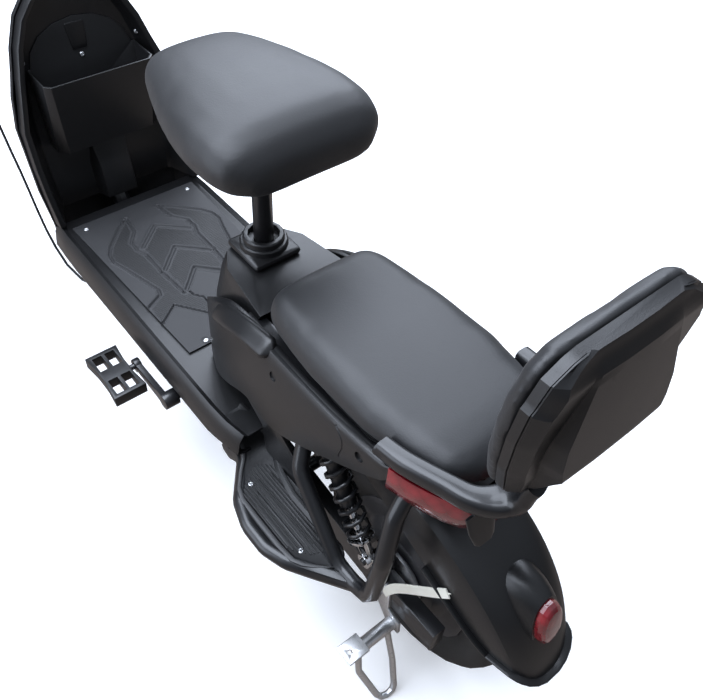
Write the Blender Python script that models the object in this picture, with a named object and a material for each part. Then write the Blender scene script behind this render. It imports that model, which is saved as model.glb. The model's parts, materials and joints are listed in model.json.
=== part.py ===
"""Electric moped with pedals, a rear bench and a backrest, built as separate pieces.

Metres, +Z up, +X forward, +Y to the rider's left, ground at z = 0. Distances named
"fore" are measured forward from the rear axle, and fore() turns them into world X.
"""

import math

import bmesh
import bpy
import numpy as np
from mathutils import Matrix, Vector

# General clearances
TOUCH = 0.0003
RUNNING = 0.0005
PIVOT_PLAY = 0.0008
WELD = 0.00001

# Place of the rear axle along X, so that the whole moped is centred on the origin
REAR_AXLE_X = -0.5517

# Wheels
WHEELBASE = 1.177
TYRE_RADIUS = 0.190
TYRE_WIDTH = 0.064
TYRE_WALL = 0.007
RIM_SEAT_RADIUS = 0.127
RIM_WIDTH = 0.050
HUB_MOTOR_RADIUS = 0.092
HUB_MOTOR_WIDTH = 0.072
SPROCKET_RADIUS = 0.029
SPROCKET_Y = -0.0445
CHAIN_WIDTH = 0.006
REAR_AXLE_RADIUS = 0.008
FRONT_AXLE_RADIUS = 0.006

# Steering line, which passes through the front axle, and its rake from the vertical
RAKE = math.radians(16.8)
HEAD_TUBE_LOW_Z = 0.570
HEAD_TUBE_HIGH_Z = 0.715
HEAD_TUBE_RADIUS = 0.021
STEERER_RADIUS = 0.016
FORK_HALF_SPREAD = 0.058
STANCHION_RADIUS = 0.0135
SLIDER_RADIUS = 0.0185
HANDLEBAR_Z = 0.985
HANDLEBAR_REACH = 0.300
HANDLEBAR_RADIUS = 0.011

# Floor frame
RAIL_RADIUS = 0.0125
CROSS_RADIUS = 0.0115
RAIL_Y = 0.100
RAIL_Z = 0.228
FRONT_CROSS_FORE = 0.860
REAR_CROSS_FORE = 0.372
DOWN_TUBE_RADIUS = 0.0175
SEAT_TUBE_FORE = 0.397
SEAT_TUBE_RADIUS = 0.019
SEAT_TUBE_TOP_Z = 0.5415
SEAT_POST_RADIUS = 0.0148
CRANK_FORE = 0.456
CRANK_Z = 0.252
BRACKET_SHELL_RADIUS = 0.021
BRACKET_SHELL_WIDTH = 0.068
SPINDLE_RADIUS = 0.008
SWING_PIVOT_FORE = 0.330
SWING_PIVOT_Z = 0.235
SWING_BOLT_RADIUS = 0.008

# Battery and its controller
BATTERY_LENGTH = 0.310
BATTERY_WIDTH = 0.150
BATTERY_TOP_Z = 0.300
BATTERY_HEIGHT = 0.125
BATTERY_FRONT_FORE = 0.822

# Rear frame
UPPER_RAIL_Y = 0.055
UPPER_RAIL_Z = 0.515
UPPER_RAIL_RADIUS = 0.010
UPPER_RAIL_REAR_FORE = -0.104
SHOCK_TOP_FORE = 0.130
SHOCK_TOP_Z = 0.475
SHOCK_LOW_FORE = 0.010
SHOCK_LOW_Z = 0.290
SHOCK_Y = 0.098
SHOCK_PIN_RADIUS = 0.0055
SHOCK_EYE_WIDTH = 0.022
COVER_BOLT_FORES = (0.206, 0.029)

# Floor pan, mat and leg shield
MAT_TOP_Z = 0.335
MAT_THICKNESS = 0.003
MAT_FRONT_FORE = 0.860
MAT_REAR_FORE = 0.457
MAT_FRONT_HALF_WIDTH = 0.130
MAT_REAR_HALF_WIDTH = 0.116
PAN_FRONT_FORE = 0.886
PAN_REAR_FORE = 0.262
PAN_WALL = 0.003
PAN_LOW_Z = 0.205
SHIELD_WALL = 0.003
SHIELD_BOTTOM_FORE = 0.862
SHIELD_LEAN = 0.26
SHIELD_TOP_Z = 0.735
POCKET_WALL = 0.0025

# Seat tower, side covers and tail
COVER_WALL = 0.003
COLLAR_TOP_Z = 0.575
COLLAR_SIDE = 0.080
BENCH_SEAM_Z = 0.548
BENCH_FRONT_FORE = 0.272
BENCH_REAR_FORE = -0.100
BENCH_KINK_FORE = 0.150
BENCH_CROWN_Z = 0.618
BENCH_HINGE_FORE = 0.280
BENCH_HINGE_Z = 0.5445
SADDLE_MID_FORE = 0.4255
SADDLE_LENGTH = 0.305
SADDLE_HALF_WIDTH = 0.128
SADDLE_EDGE_Z = 0.772
SADDLE_CROWN_Z = 0.822
SADDLE_UNDERSIDE_Z = 0.738
BACKREST_HALF_WIDTH = 0.114
BACKREST_LOW_Z = 0.645
BACKREST_HIGH_Z = 0.8635
BACKREST_FRONT_FORE = -0.112
BACKREST_LEAN = math.radians(4.5)

# Footrests, guard loops and stand
FOOTREST_Z = 0.284
FOOTREST_OUTER_Y = 0.2005
LOOP_TUBE_RADIUS = 0.0125
LOOP_Y = 0.135
STAND_PIVOT_FORE = -0.040
STAND_PIVOT_Z = 0.135
STAND_PIN_RADIUS = 0.006
STAND_SLEEVE_RADIUS = 0.011
STAND_ROD_RADIUS = 0.0055
STAY_PLATE = 0.005

# Swing arm, springs and cranks
ARM_INNER_Y = 0.052
ARM_OUTER_Y = 0.076
ARM_REAR_FORE = -0.115
ARM_CROSS_FORE = 0.225
ARM_CROSS_Z = 0.214
ARM_CROSS_RADIUS = 0.012
SPRING_WIRE_RADIUS = 0.0032
SPRING_MEAN_RADIUS = 0.0170
SPRING_TURNS = 6
CHAINRING_RADIUS = 0.043
CRANK_LENGTH = 0.100
CRANK_ARM_INNER_Y = 0.168
CRANK_ARM_THICKNESS = 0.010
PEDAL_INNER_Y = 0.184
PEDAL_OUTER_Y = 0.243
PEDAL_HALF_LENGTH = 0.055
PEDAL_HALF_HEIGHT = 0.011
PEDAL_PIN_RADIUS = 0.0055

# Facets round a turned piece
FACETS_LARGE = 24
FACETS_MEDIUM = 12
FACETS_TURN = 0.11

COLOURS = {
    "body_plastic": ((0.020, 0.021, 0.024), 0.46, 0.0),
    "gloss_black": ((0.008, 0.008, 0.009), 0.16, 0.0),
    "soft_black": ((0.028, 0.029, 0.033), 0.58, 0.0),
    "rubber": ((0.016, 0.016, 0.017), 0.75, 0.0),
    "tyre_rubber": ((0.013, 0.013, 0.013), 0.85, 0.0),
    "black_paint": ((0.012, 0.012, 0.013), 0.28, 0.0),
    "zinc": ((0.62, 0.63, 0.64), 0.30, 1.0),
    "chrome": ((0.80, 0.80, 0.81), 0.12, 1.0),
    "cast_alloy": ((0.09, 0.09, 0.095), 0.40, 1.0),
    "battery_case": ((0.03, 0.03, 0.032), 0.55, 0.0),
    "red_lens": ((0.36, 0.012, 0.018), 0.14, 0.0),
    "cream_paint": ((0.78, 0.76, 0.66), 0.35, 0.0),
    "red_plastic": ((0.45, 0.03, 0.02), 0.35, 0.0),
}


def fore(distance):
    """World X of a point that far ahead of the rear axle."""
    return REAR_AXLE_X + distance


def at(distance, y, z):
    """World point from its distance ahead of the rear axle."""
    return Vector((fore(distance), y, z))


def steer_fore(z):
    """Distance ahead of the rear axle where the steering line passes height z."""
    return WHEELBASE - (z - TYRE_RADIUS) * math.tan(RAKE)


def shield_fore(z):
    """Distance ahead of the rear axle of the leg shield's rim at height z."""
    return SHIELD_BOTTOM_FORE + (z - MAT_TOP_Z) * SHIELD_LEAN


def shield_half_width(z):
    """Half width of the leg shield's rim at height z: upright sides under a round top."""
    heights = (MAT_TOP_Z, 0.430, 0.530, 0.560, 0.600, 0.650, 0.690, 0.715, SHIELD_TOP_Z)
    widths = (0.150, 0.156, 0.153, 0.146, 0.131, 0.115, 0.094, 0.070, 0.037)
    return float(np.interp(z, heights, widths))


def panel_fore(z):
    """Distance ahead of the rear axle of the leg shield's inner panel at height z."""
    return 0.925 + (z - 0.340) * 0.16


def clear_scene():
    for item in list(bpy.data.objects):
        bpy.data.objects.remove(item, do_unlink=True)


def paint(name):
    """Principled material of that name, made once."""
    existing = bpy.data.materials.get(name)
    if existing:
        return existing
    colour, roughness, metallic = COLOURS[name]
    made = bpy.data.materials.new(name)
    made.use_nodes = True
    shader = made.node_tree.nodes["Principled BSDF"]
    shader.inputs["Base Color"].default_value = (*colour, 1.0)
    shader.inputs["Roughness"].default_value = roughness
    shader.inputs["Metallic"].default_value = metallic
    made.diffuse_color = (*colour, 1.0)
    return made


def link(mesh, name="piece"):
    obj = bpy.data.objects.new(name, mesh)
    bpy.context.scene.collection.objects.link(obj)
    return obj


def from_bmesh(bm, name="piece"):
    bmesh.ops.recalc_face_normals(bm, faces=bm.faces)
    mesh = bpy.data.meshes.new(name)
    bm.to_mesh(mesh)
    bm.free()
    return link(mesh, name)


def box(low, high, bevel=0.0, segments=1):
    """Box between two corners given as (fore, y, z), its edges bevelled."""
    a = at(*low)
    b = at(*high)
    bm = bmesh.new()
    bmesh.ops.create_cube(bm, size=1.0)
    size = b - a
    bmesh.ops.scale(bm, vec=size, verts=bm.verts)
    bmesh.ops.translate(bm, vec=(a + b) / 2, verts=bm.verts)
    if bevel:
        bmesh.ops.bevel(bm, geom=bm.edges[:], offset=bevel, offset_type="OFFSET", segments=segments,
                        profile=0.5, affect="EDGES", clamp_overlap=True)
    return from_bmesh(bm)


def frame_along(direction):
    """Rotation whose local Z runs along the direction."""
    return Vector(direction).normalized().to_track_quat("Z", "Y").to_matrix().to_4x4()


def rod(start, end, radius, facets=FACETS_MEDIUM, bore=0.0, chamfer=0.0):
    """Round bar between two (fore, y, z) points, hollow right through when bore is set."""
    a = at(*start)
    b = at(*end)
    length = (b - a).length
    if chamfer:
        outer = [(radius - chamfer, 0.0), (radius, chamfer), (radius, length - chamfer),
                 (radius - chamfer, length)]
    else:
        outer = [(radius, 0.0), (radius, length)]
    if bore:
        profile = outer + [(bore, length), (bore, 0.0)]
        obj = turned(profile, facets, closed=True)
    else:
        obj = turned([(0.0, 0.0)] + outer + [(0.0, length)], facets)
    obj.data.transform(Matrix.Translation(a) @ frame_along(b - a))
    return obj


def turned(profile, facets=FACETS_MEDIUM, closed=False, start=FACETS_TURN):
    """Solid of revolution about local Z from (radius, height) points."""
    bm = bmesh.new()
    verts = [bm.verts.new((r * math.cos(start), r * math.sin(start), z)) for r, z in profile]
    edges = [bm.edges.new((verts[i], verts[i + 1])) for i in range(len(verts) - 1)]
    if closed:
        edges.append(bm.edges.new((verts[-1], verts[0])))
    bmesh.ops.spin(bm, geom=verts + edges, cent=(0, 0, 0), axis=(0, 0, 1), dvec=(0, 0, 0),
                   angle=2.0 * math.pi, steps=facets, use_merge=True, use_duplicate=False)
    bmesh.ops.remove_doubles(bm, verts=bm.verts, dist=1e-6)
    return from_bmesh(bm)


def turned_across(profile, centre, facets=FACETS_LARGE, closed=True, start=FACETS_TURN):
    """Solid of revolution about a line along Y; profile holds (radius, y) points."""
    obj = turned(profile, facets, closed, start)
    turn = Matrix(((0, 1, 0, 0), (0, 0, 1, 0), (1, 0, 0, 0), (0, 0, 0, 1)))
    obj.data.transform(Matrix.Translation(at(centre[0], 0.0, centre[1])) @ turn)
    return obj


def rounded_path(points, radius, steps=4):
    """Polyline whose corners are replaced by arcs of about that radius."""
    pts = [Vector(p) for p in points]
    path = [pts[0]]
    for before, corner, after in zip(pts, pts[1:], pts[2:]):
        into = (before - corner).normalized()
        out = (after - corner).normalized()
        angle = into.angle(out)
        if math.pi - angle < 0.02:
            path.append(corner)
            continue
        reach = min(radius / math.tan(angle / 2), 0.48 * (before - corner).length,
                    0.48 * (after - corner).length)
        bend = reach * math.tan(angle / 2)
        centre = corner + (into + out).normalized() * bend / math.sin(angle / 2)
        first = corner + into * reach - centre
        last = corner + out * reach - centre
        for i in range(steps + 1):
            path.append(centre + first.slerp(last, i / steps).normalized() * bend)
    path.append(pts[-1])
    return path


def smooth_path(points, spacing):
    """Evenly spaced points on a smooth curve through the given ones."""
    pts = [Vector(p) for p in points]
    padded = [2 * pts[0] - pts[1]] + pts + [2 * pts[-1] - pts[-2]]
    fine = []
    for p0, p1, p2, p3 in zip(padded, padded[1:], padded[2:], padded[3:]):
        for i in range(12):
            t = i / 12
            fine.append(0.5 * (2 * p1 + (p2 - p0) * t + (2 * p0 - 5 * p1 + 4 * p2 - p3) * t * t
                               + (3 * p1 - p0 - 3 * p2 + p3) * t ** 3))
    fine.append(pts[-1])
    along = [0.0]
    for a, b in zip(fine, fine[1:]):
        along.append(along[-1] + (b - a).length)
    count = max(2, round(along[-1] / spacing))
    coords = np.array(fine)
    marks = np.linspace(0.0, along[-1], count + 1)
    return [Vector([np.interp(m, along, coords[:, k]) for k in range(3)]) for m in marks]


def tube(path, radius, facets=10, world=False):
    """Round tube along the path, with flat closed ends."""
    pts = [Vector(p) if world else at(*p) for p in path]
    curve = bpy.data.curves.new("path", "CURVE")
    curve.dimensions = "3D"
    curve.bevel_depth = radius
    curve.bevel_resolution = (facets - 4) // 2
    curve.use_fill_caps = True
    spline = curve.splines.new("POLY")
    spline.points.add(len(pts) - 1)
    for point, place in zip(spline.points, pts):
        point.co = (*place, 1.0)
    holder = bpy.data.objects.new("path", curve)
    bpy.context.scene.collection.objects.link(holder)
    graph = bpy.context.evaluated_depsgraph_get()
    mesh = bpy.data.meshes.new_from_object(holder.evaluated_get(graph))
    bpy.data.objects.remove(holder, do_unlink=True)
    bpy.data.curves.remove(curve)
    bm = bmesh.new()
    bm.from_mesh(mesh)
    bpy.data.meshes.remove(mesh)
    bmesh.ops.remove_doubles(bm, verts=bm.verts, dist=1e-6)
    return from_bmesh(bm)


def lofted(sections, cap=True, ring=True):
    """Skin over section loops of (fore, y, z) points; all loops have as many points."""
    bm = bmesh.new()
    rows = [[bm.verts.new(at(*p)) for p in section] for section in sections]
    for lower, upper in zip(rows, rows[1:]):
        count = len(lower)
        for i in range(count if ring else count - 1):
            j = (i + 1) % count
            bm.faces.new((lower[i], lower[j], upper[j], upper[i]))
    if cap and ring:
        bm.faces.new(rows[0])
        bm.faces.new(rows[-1])
    return from_bmesh(bm)


def shell(sections, wall, inward=True):
    """Open skin over section lines, given a wall thickness."""
    obj = lofted(sections, cap=False, ring=False)
    thick = obj.modifiers.new("wall", "SOLIDIFY")
    thick.thickness = wall
    thick.offset = -1.0 if inward else 1.0
    return applied(obj)


def plate(outline, low, high, plane="XZ", bevel=0.0):
    """Flat outline pushed through a thickness; plane XZ runs along Y, XY along Z."""
    bm = bmesh.new()
    if plane == "XZ":
        verts = [bm.verts.new(at(u, low, v)) for u, v in outline]
        push = Vector((0, high - low, 0))
    elif plane == "XY":
        verts = [bm.verts.new(at(u, v, low)) for u, v in outline]
        push = Vector((0, 0, high - low))
    else:
        verts = [bm.verts.new(at(low, u, v)) for u, v in outline]
        push = Vector((high - low, 0, 0))
    face = bm.faces.new(verts)
    pushed = bmesh.ops.extrude_face_region(bm, geom=[face])
    moved = [item for item in pushed["geom"] if isinstance(item, bmesh.types.BMVert)]
    bmesh.ops.translate(bm, vec=push, verts=moved)
    obj = from_bmesh(bm)
    if bevel:
        soften = obj.modifiers.new("bevel", "BEVEL")
        soften.width = bevel
        soften.segments = 1
        soften.limit_method = "ANGLE"
        soften.angle_limit = math.radians(50)
        applied(obj)
    return obj


def applied(obj):
    """The object with its modifiers worked into its mesh."""
    graph = bpy.context.evaluated_depsgraph_get()
    mesh = bpy.data.meshes.new_from_object(obj.evaluated_get(graph))
    old = obj.data
    obj.modifiers.clear()
    obj.data = mesh
    bpy.data.meshes.remove(old)
    return obj


def tidied(obj):
    """Merges points that fall together and flat neighbours, so a joint leaves no slivers."""
    bm = bmesh.new()
    bm.from_mesh(obj.data)
    bmesh.ops.remove_doubles(bm, verts=bm.verts, dist=WELD)
    bmesh.ops.dissolve_degenerate(bm, dist=WELD, edges=bm.edges)
    bmesh.ops.dissolve_limit(bm, angle_limit=math.radians(0.2), use_dissolve_boundaries=False,
                             verts=bm.verts, edges=bm.edges)
    bm.to_mesh(obj.data)
    bm.free()
    return obj


def combined(base, others, operation):
    for other in others:
        step = base.modifiers.new("join", "BOOLEAN")
        step.operation = operation
        step.solver = "EXACT"
        step.object = other
        applied(base)
        tidied(base)
        bpy.data.objects.remove(other, do_unlink=True)
    return base


def united(base, *others):
    return combined(base, others, "UNION")


def cut(base, *others):
    return combined(base, others, "DIFFERENCE")


def mirrored(obj):
    """Copy of the object on the other side of the moped's middle plane."""
    copy = link(obj.data.copy())
    copy.data.transform(Matrix.Scale(-1.0, 4, Vector((0, 1, 0))))
    copy.data.flip_normals()
    return copy


def finish(obj, name, colour, smooth=35.0, axis=None):
    """Name, material, shading and an origin on the piece's joint axis."""
    obj.name = name
    obj.data.name = name
    obj.data.materials.clear()
    obj.data.materials.append(paint(colour))
    obj.data.polygons.foreach_set("material_index", [0] * len(obj.data.polygons))
    if smooth:
        obj.data.shade_smooth()
        obj.data.set_sharp_from_angle(angle=math.radians(smooth))
    else:
        obj.data.shade_flat()
    if axis is not None:
        place = at(*axis)
        obj.data.transform(Matrix.Translation(-place))
        obj.location = place
    return obj


# Frame

def head_line(z):
    """Point on the steering line at height z, as (fore, y, z)."""
    return (steer_fore(z), 0.0, z)


def floor_cross_tube(radius):
    reach = RAIL_Y
    return rod((FRONT_CROSS_FORE, -reach, RAIL_Z), (FRONT_CROSS_FORE, reach, RAIL_Z), radius)


def make_front_frame():
    """Head tube and the bent down tube under it."""
    head = rod(head_line(HEAD_TUBE_LOW_Z), head_line(HEAD_TUBE_HIGH_Z), HEAD_TUBE_RADIUS)
    meet_z = 0.640
    path = rounded_path([(steer_fore(meet_z), 0, meet_z), (0.983, 0, 0.553), (0.971, 0, 0.450),
                         (0.930, 0, 0.330), (0.888, 0, 0.262), (FRONT_CROSS_FORE, 0, RAIL_Z)], 0.10, 2)
    frame = united(head, tube(path, DOWN_TUBE_RADIUS, 10))
    bore = rod(head_line(HEAD_TUBE_LOW_Z - 0.03), head_line(HEAD_TUBE_HIGH_Z + 0.03),
               STEERER_RADIUS + RUNNING, FACETS_LARGE)
    cut(frame, bore, floor_cross_tube(CROSS_RADIUS + TOUCH))
    return finish(frame, "front_frame", "black_paint")


def make_floor_frame():
    """Two floor rails with their cross tubes, the seat tube, the crank shell and the pivot bolt."""
    pivot_end = SWING_PIVOT_FORE
    frame = floor_cross_tube(CROSS_RADIUS)
    for side in (-1, 1):
        rail = rod((pivot_end + 0.0175, side * RAIL_Y, RAIL_Z),
                   (FRONT_CROSS_FORE + 0.006, side * RAIL_Y, RAIL_Z), RAIL_RADIUS)
        lug = box((pivot_end - 0.016, side * RAIL_Y - 0.0105, RAIL_Z - RAIL_RADIUS - 0.002),
                  (pivot_end + 0.020, side * RAIL_Y + 0.0105, SWING_PIVOT_Z + 0.019), 0.003)
        united(frame, rail, lug)
    rear = rod((REAR_CROSS_FORE, -RAIL_Y, RAIL_Z), (REAR_CROSS_FORE, RAIL_Y, RAIL_Z), CROSS_RADIUS)
    bolt = rod((pivot_end, -RAIL_Y, SWING_PIVOT_Z), (pivot_end, RAIL_Y, SWING_PIVOT_Z),
               SWING_BOLT_RADIUS)
    seat = rod((SEAT_TUBE_FORE, 0, RAIL_Z - 0.010), (SEAT_TUBE_FORE, 0, SEAT_TUBE_TOP_Z),
               SEAT_TUBE_RADIUS)
    half_shell = BRACKET_SHELL_WIDTH / 2
    crank_shell = rod((CRANK_FORE, -half_shell, CRANK_Z), (CRANK_FORE, half_shell, CRANK_Z),
                      BRACKET_SHELL_RADIUS)
    gusset = plate([(SEAT_TUBE_FORE, CRANK_Z - 0.014), (CRANK_FORE, CRANK_Z - 0.014),
                    (CRANK_FORE, CRANK_Z + 0.014), (SEAT_TUBE_FORE, CRANK_Z + 0.050)], -0.008, 0.008)
    united(frame, rear, bolt, seat, gusset, crank_shell)
    seat_bore = rod((SEAT_TUBE_FORE, 0, RAIL_Z - 0.030), (SEAT_TUBE_FORE, 0, SEAT_TUBE_TOP_Z + 0.02),
                    SEAT_POST_RADIUS + RUNNING)
    shell_bore = rod((CRANK_FORE, -0.06, CRANK_Z), (CRANK_FORE, 0.06, CRANK_Z), SPINDLE_RADIUS + RUNNING)
    cut(frame, seat_bore, shell_bore)
    return finish(frame, "floor_frame", "black_paint")


def make_rear_frame():
    """Rails under the bench with the shocks' upper pins, welded to the seat tube."""
    y = UPPER_RAIL_Y
    z = UPPER_RAIL_Z
    front = SEAT_TUBE_FORE + SEAT_TUBE_RADIUS + TOUCH
    rear = UPPER_RAIL_REAR_FORE
    half_loop = [(0.290, y, z), (0.390, y - 0.010, z), (front + 0.012, 0.022, z), (front + 0.012, 0.0, z)]
    path = [(rear, y, z)] + half_loop + [(f, -w, h) for f, w, h in reversed(half_loop[:-1])] + [(rear, -y, z)]
    frame = tube(rounded_path(path, 0.03, 1), UPPER_RAIL_RADIUS, 8)
    saddle_plate = box((front, -0.016, z - 0.014), (front + 0.008, 0.016, z + 0.014))
    united(frame, saddle_plate)
    for distance in (rear + 0.012, *COVER_BOLT_FORES):
        reach = 0.062 if distance == rear + 0.012 else 0.104
        united(frame, rod((distance, -reach, z), (distance, reach, z), 0.0085, 8))
    inner, outer = SHOCK_Y - SHOCK_EYE_WIDTH / 2 - TOUCH, SHOCK_Y + SHOCK_EYE_WIDTH / 2 + 0.0025
    pin = SHOCK_PIN_RADIUS
    carrier = turned_across([(0.0, -outer), (pin, -outer), (pin, -inner), (0.011, -inner), (0.011, inner),
                             (pin, inner), (pin, outer), (0.0, outer)], (SHOCK_TOP_FORE, SHOCK_TOP_Z),
                            FACETS_MEDIUM, closed=False)
    united(frame, carrier)
    for side in (-1, 1):
        hanger = box((SHOCK_TOP_FORE - 0.010, side * y - 0.005, SHOCK_TOP_Z),
                     (SHOCK_TOP_FORE + 0.010, side * y + 0.005, z), 0.0)
        united(frame, hanger)
    cut(frame, rod((SEAT_TUBE_FORE, 0, z - 0.05), (SEAT_TUBE_FORE, 0, z + 0.05), SEAT_TUBE_RADIUS + TOUCH))
    return finish(frame, "rear_frame", "black_paint")


def make_guard_loops():
    """Bent tubes that carry the footrests and run up into the tail on each side."""
    z = FOOTREST_Z - 0.010
    pad = FOOTREST_OUTER_Y
    lug_y = RAIL_Y + 0.0105 + TOUCH
    rest = tube(rounded_path([(SWING_PIVOT_FORE + 0.002, lug_y, SWING_PIVOT_Z),
                              (SWING_PIVOT_FORE + 0.002, 0.132, SWING_PIVOT_Z), (0.298, 0.138, 0.250),
                              (0.266, 0.139, z), (0.240, 0.159, z), (0.203, pad - 0.0125, z),
                              (0.162, pad, z), (0.119, pad, z), (0.083, pad - 0.0115, z),
                              (0.050, pad - 0.0325, z), (0.000, LOOP_Y, z)], 0.025, 1),
                LOOP_TUBE_RADIUS, 8)
    top_z = UPPER_RAIL_Z
    loop = tube(rounded_path([(0.166, 0.0985, 0.500), (0.158, 0.0995, 0.432), (0.138, 0.126, 0.388),
                              (0.034, LOOP_Y, z + 0.004), (-0.036, LOOP_Y, z + 0.004),
                              (-0.050, LOOP_Y, 0.420), (-0.036, 0.112, 0.480),
                              (-0.030, 0.088, top_z - 0.004), (-0.030, UPPER_RAIL_Y, top_z)], 0.035, 2),
                LOOP_TUBE_RADIUS, 8)
    frame = united(rest, loop)
    rail = rod((-0.20, UPPER_RAIL_Y, UPPER_RAIL_Z), (0.30, UPPER_RAIL_Y, UPPER_RAIL_Z),
               UPPER_RAIL_RADIUS + 3 * TOUCH, 16)
    cut(frame, rail)
    right = mirrored(frame)
    return (finish(frame, "guard_loop_left", "gloss_black"),
            finish(right, "guard_loop_right", "gloss_black"))


def make_battery():
    half = BATTERY_WIDTH / 2
    front = BATTERY_FRONT_FORE
    low = BATTERY_TOP_Z - BATTERY_HEIGHT
    pack = box((front - BATTERY_LENGTH, -half, low), (front, half, BATTERY_TOP_Z), 0.006, 1)
    ear_z = RAIL_Z + RAIL_RADIUS + TOUCH
    ears = []
    for distance in (front - BATTERY_LENGTH + 0.05, front - 0.05):
        ears.append(box((distance - 0.012, -RAIL_Y - 0.008, ear_z),
                        (distance + 0.012, RAIL_Y + 0.008, ear_z + 0.004)))
    united(pack, *ears)
    return finish(pack, "battery_pack", "battery_case", 0)


def make_controller():
    top = UPPER_RAIL_Z - UPPER_RAIL_RADIUS - TOUCH
    case = box((0.226, -0.060, top - 0.034), (0.330, 0.060, top), 0.004)
    return finish(case, "motor_controller", "cast_alloy", 0)


# Floor, shields and covers

def pan_section(distance, spread, drop):
    """Upper outside line of the floor pan at one station, left edge to right edge."""
    low = PAN_LOW_Z + drop
    half = [(0.131, low), (0.150, 0.252), (0.162, 0.294), (0.157, 0.325), (0.148, 0.3385),
            (0.140, 0.3318), (0.100, 0.3318)]
    half = [(w * spread, max(z, low + 0.004 * i)) for i, (w, z) in enumerate(half)]
    line = half + [(-w, z) for w, z in reversed(half)]
    return [(distance, w, z) for w, z in line]


def make_floor_pan():
    """Plastic floor with deep side skirts, resting on the floor rails by its ribs."""
    stations = [(PAN_REAR_FORE, 0.940, 0.086), (0.300, 0.985, 0.084), (0.342, 1.0, 0.080),
                (0.362, 1.0, 0.0), (0.620, 1.0, 0.0),
                (0.840, 1.0, 0.0), (PAN_FRONT_FORE, 0.985, 0.020)]
    pan = shell([pan_section(*station) for station in stations], PAN_WALL)
    rib_z = RAIL_Z + RAIL_RADIUS + 2 * TOUCH
    under = MAT_TOP_Z - MAT_THICKNESS - PAN_WALL + 0.001
    for side in (-1, 1):
        for distance in (0.420, 0.575, 0.760):
            rib = box((distance - 0.010, side * RAIL_Y - 0.004, rib_z + 0.0045),
                      (distance + 0.010, side * RAIL_Y + 0.004, under))
            united(pan, rib)
        bore = rod((CRANK_FORE, side * 0.110, CRANK_Z), (CRANK_FORE, side * 0.180, CRANK_Z), 0.022)
        cut(pan, bore)
    tower_hole = box((PAN_REAR_FORE - 0.05, -0.080, 0.30), (MAT_REAR_FORE - 0.025, 0.080, 0.36))
    tube_hole = box((PAN_REAR_FORE - 0.05, -0.128, 0.18), (PAN_REAR_FORE + 0.03, 0.128, 0.3255))
    cut(pan, tower_hole, tube_hole)
    return finish(pan, "floor_pan", "body_plastic")


def make_floor_mat():
    """Ribbed rubber mat with its chevron panels standing proud."""
    low = MAT_TOP_Z - MAT_THICKNESS + TOUCH
    top = MAT_TOP_Z
    rear_w = MAT_REAR_HALF_WIDTH
    front_w = MAT_FRONT_HALF_WIDTH
    outline = [(MAT_REAR_FORE + 0.0005, -rear_w), (MAT_FRONT_FORE - 0.012, -front_w),
               (MAT_FRONT_FORE, -front_w + 0.014), (MAT_FRONT_FORE, front_w - 0.014),
               (MAT_FRONT_FORE - 0.012, front_w), (MAT_REAR_FORE + 0.0005, rear_w)]
    mat = plate(outline, low, top, "XY")
    rise = 0.0012
    for k in range(3):
        tip = 0.790 - 0.088 * k
        for side in (-1, 1):
            arm = [(tip, 0.006 * side), (tip - 0.050, 0.080 * side), (tip - 0.090, 0.080 * side),
                   (tip - 0.040, 0.006 * side)]
            united(mat, plate(arm, top - 0.001, top + rise, "XY"))
    return finish(mat, "floor_mat", "rubber", 0)


def make_leg_shield():
    """Inner leg shield: a rim, side walls running forward and a back panel over the footwell."""
    sections = []
    for z in (0.340, 0.405, 0.452, 0.520, 0.600, 0.650, 0.690, 0.715, SHIELD_TOP_Z - 0.008):
        rim = shield_fore(z)
        width = shield_half_width(z)
        back = max(panel_fore(z), rim + 0.006)
        narrow = width - min(0.018 if z > 0.57 else 0.030, 0.36 * width)
        column = 0.026 * min(1.0, max(0.0, (0.452 - z) / 0.045))
        half = [(rim + 0.020, width), (rim, width - 0.002), (rim + 0.002, width - 0.012),
                (back - 0.008, narrow), (back, narrow - 0.007), (back, 0.040), (back - column, 0.030)]
        line = half + [(f, -w) for f, w in reversed(half)]
        sections.append([(f, w, z) for f, w in line])
    panel = shell(sections, SHIELD_WALL)
    return finish(panel, "leg_shield", "body_plastic")


def make_front_shield():
    """Outer apron ahead of the steering column, closing the leg shield and the floor from in front."""
    low_rim = PAN_FRONT_FORE + 2 * TOUCH
    levels = [(0.212, 0.127, 0.906, 0.918), (0.270, 0.145, 0.925, 0.942), (0.335, 0.148, 0.950, 0.975)]
    levels += [(z, None, side, nose) for z, side, nose in
               ((0.405, 0.969, 1.005), (0.520, 0.979, 1.0150), (0.572, 0.981, 1.0180),
                (0.604, 1.052, 1.096), (0.645, 1.056, 1.100), (0.690, 1.042, 1.086), (0.715, 1.029, 1.070),
                (0.727, 1.022, 1.062))]
    sections = []
    for z, width, side, nose in levels:
        rim = max(low_rim, shield_fore(z) + 0.0206)
        width = width or shield_half_width(z) + 0.0004
        flank = min(0.058, 0.60 * width)
        elbow = max(rim + 0.012, min(panel_fore(z) + 0.007, side - 0.004))
        half = [(rim, width), (rim + 0.007, width + 0.0006), (elbow, width - min(0.020, 0.22 * width)),
                (side, flank), (nose, min(0.024, 0.4 * width))]
        line = half + [(f, -w) for f, w in reversed(half)]
        sections.append([(f, w, z) for f, w in line])
    apron = shell(sections, SHIELD_WALL, inward=False)
    cut(apron, rod(head_line(0.52), head_line(0.66), HEAD_TUBE_RADIUS + 0.0015, 20))
    return finish(apron, "front_shield", "body_plastic")


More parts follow.
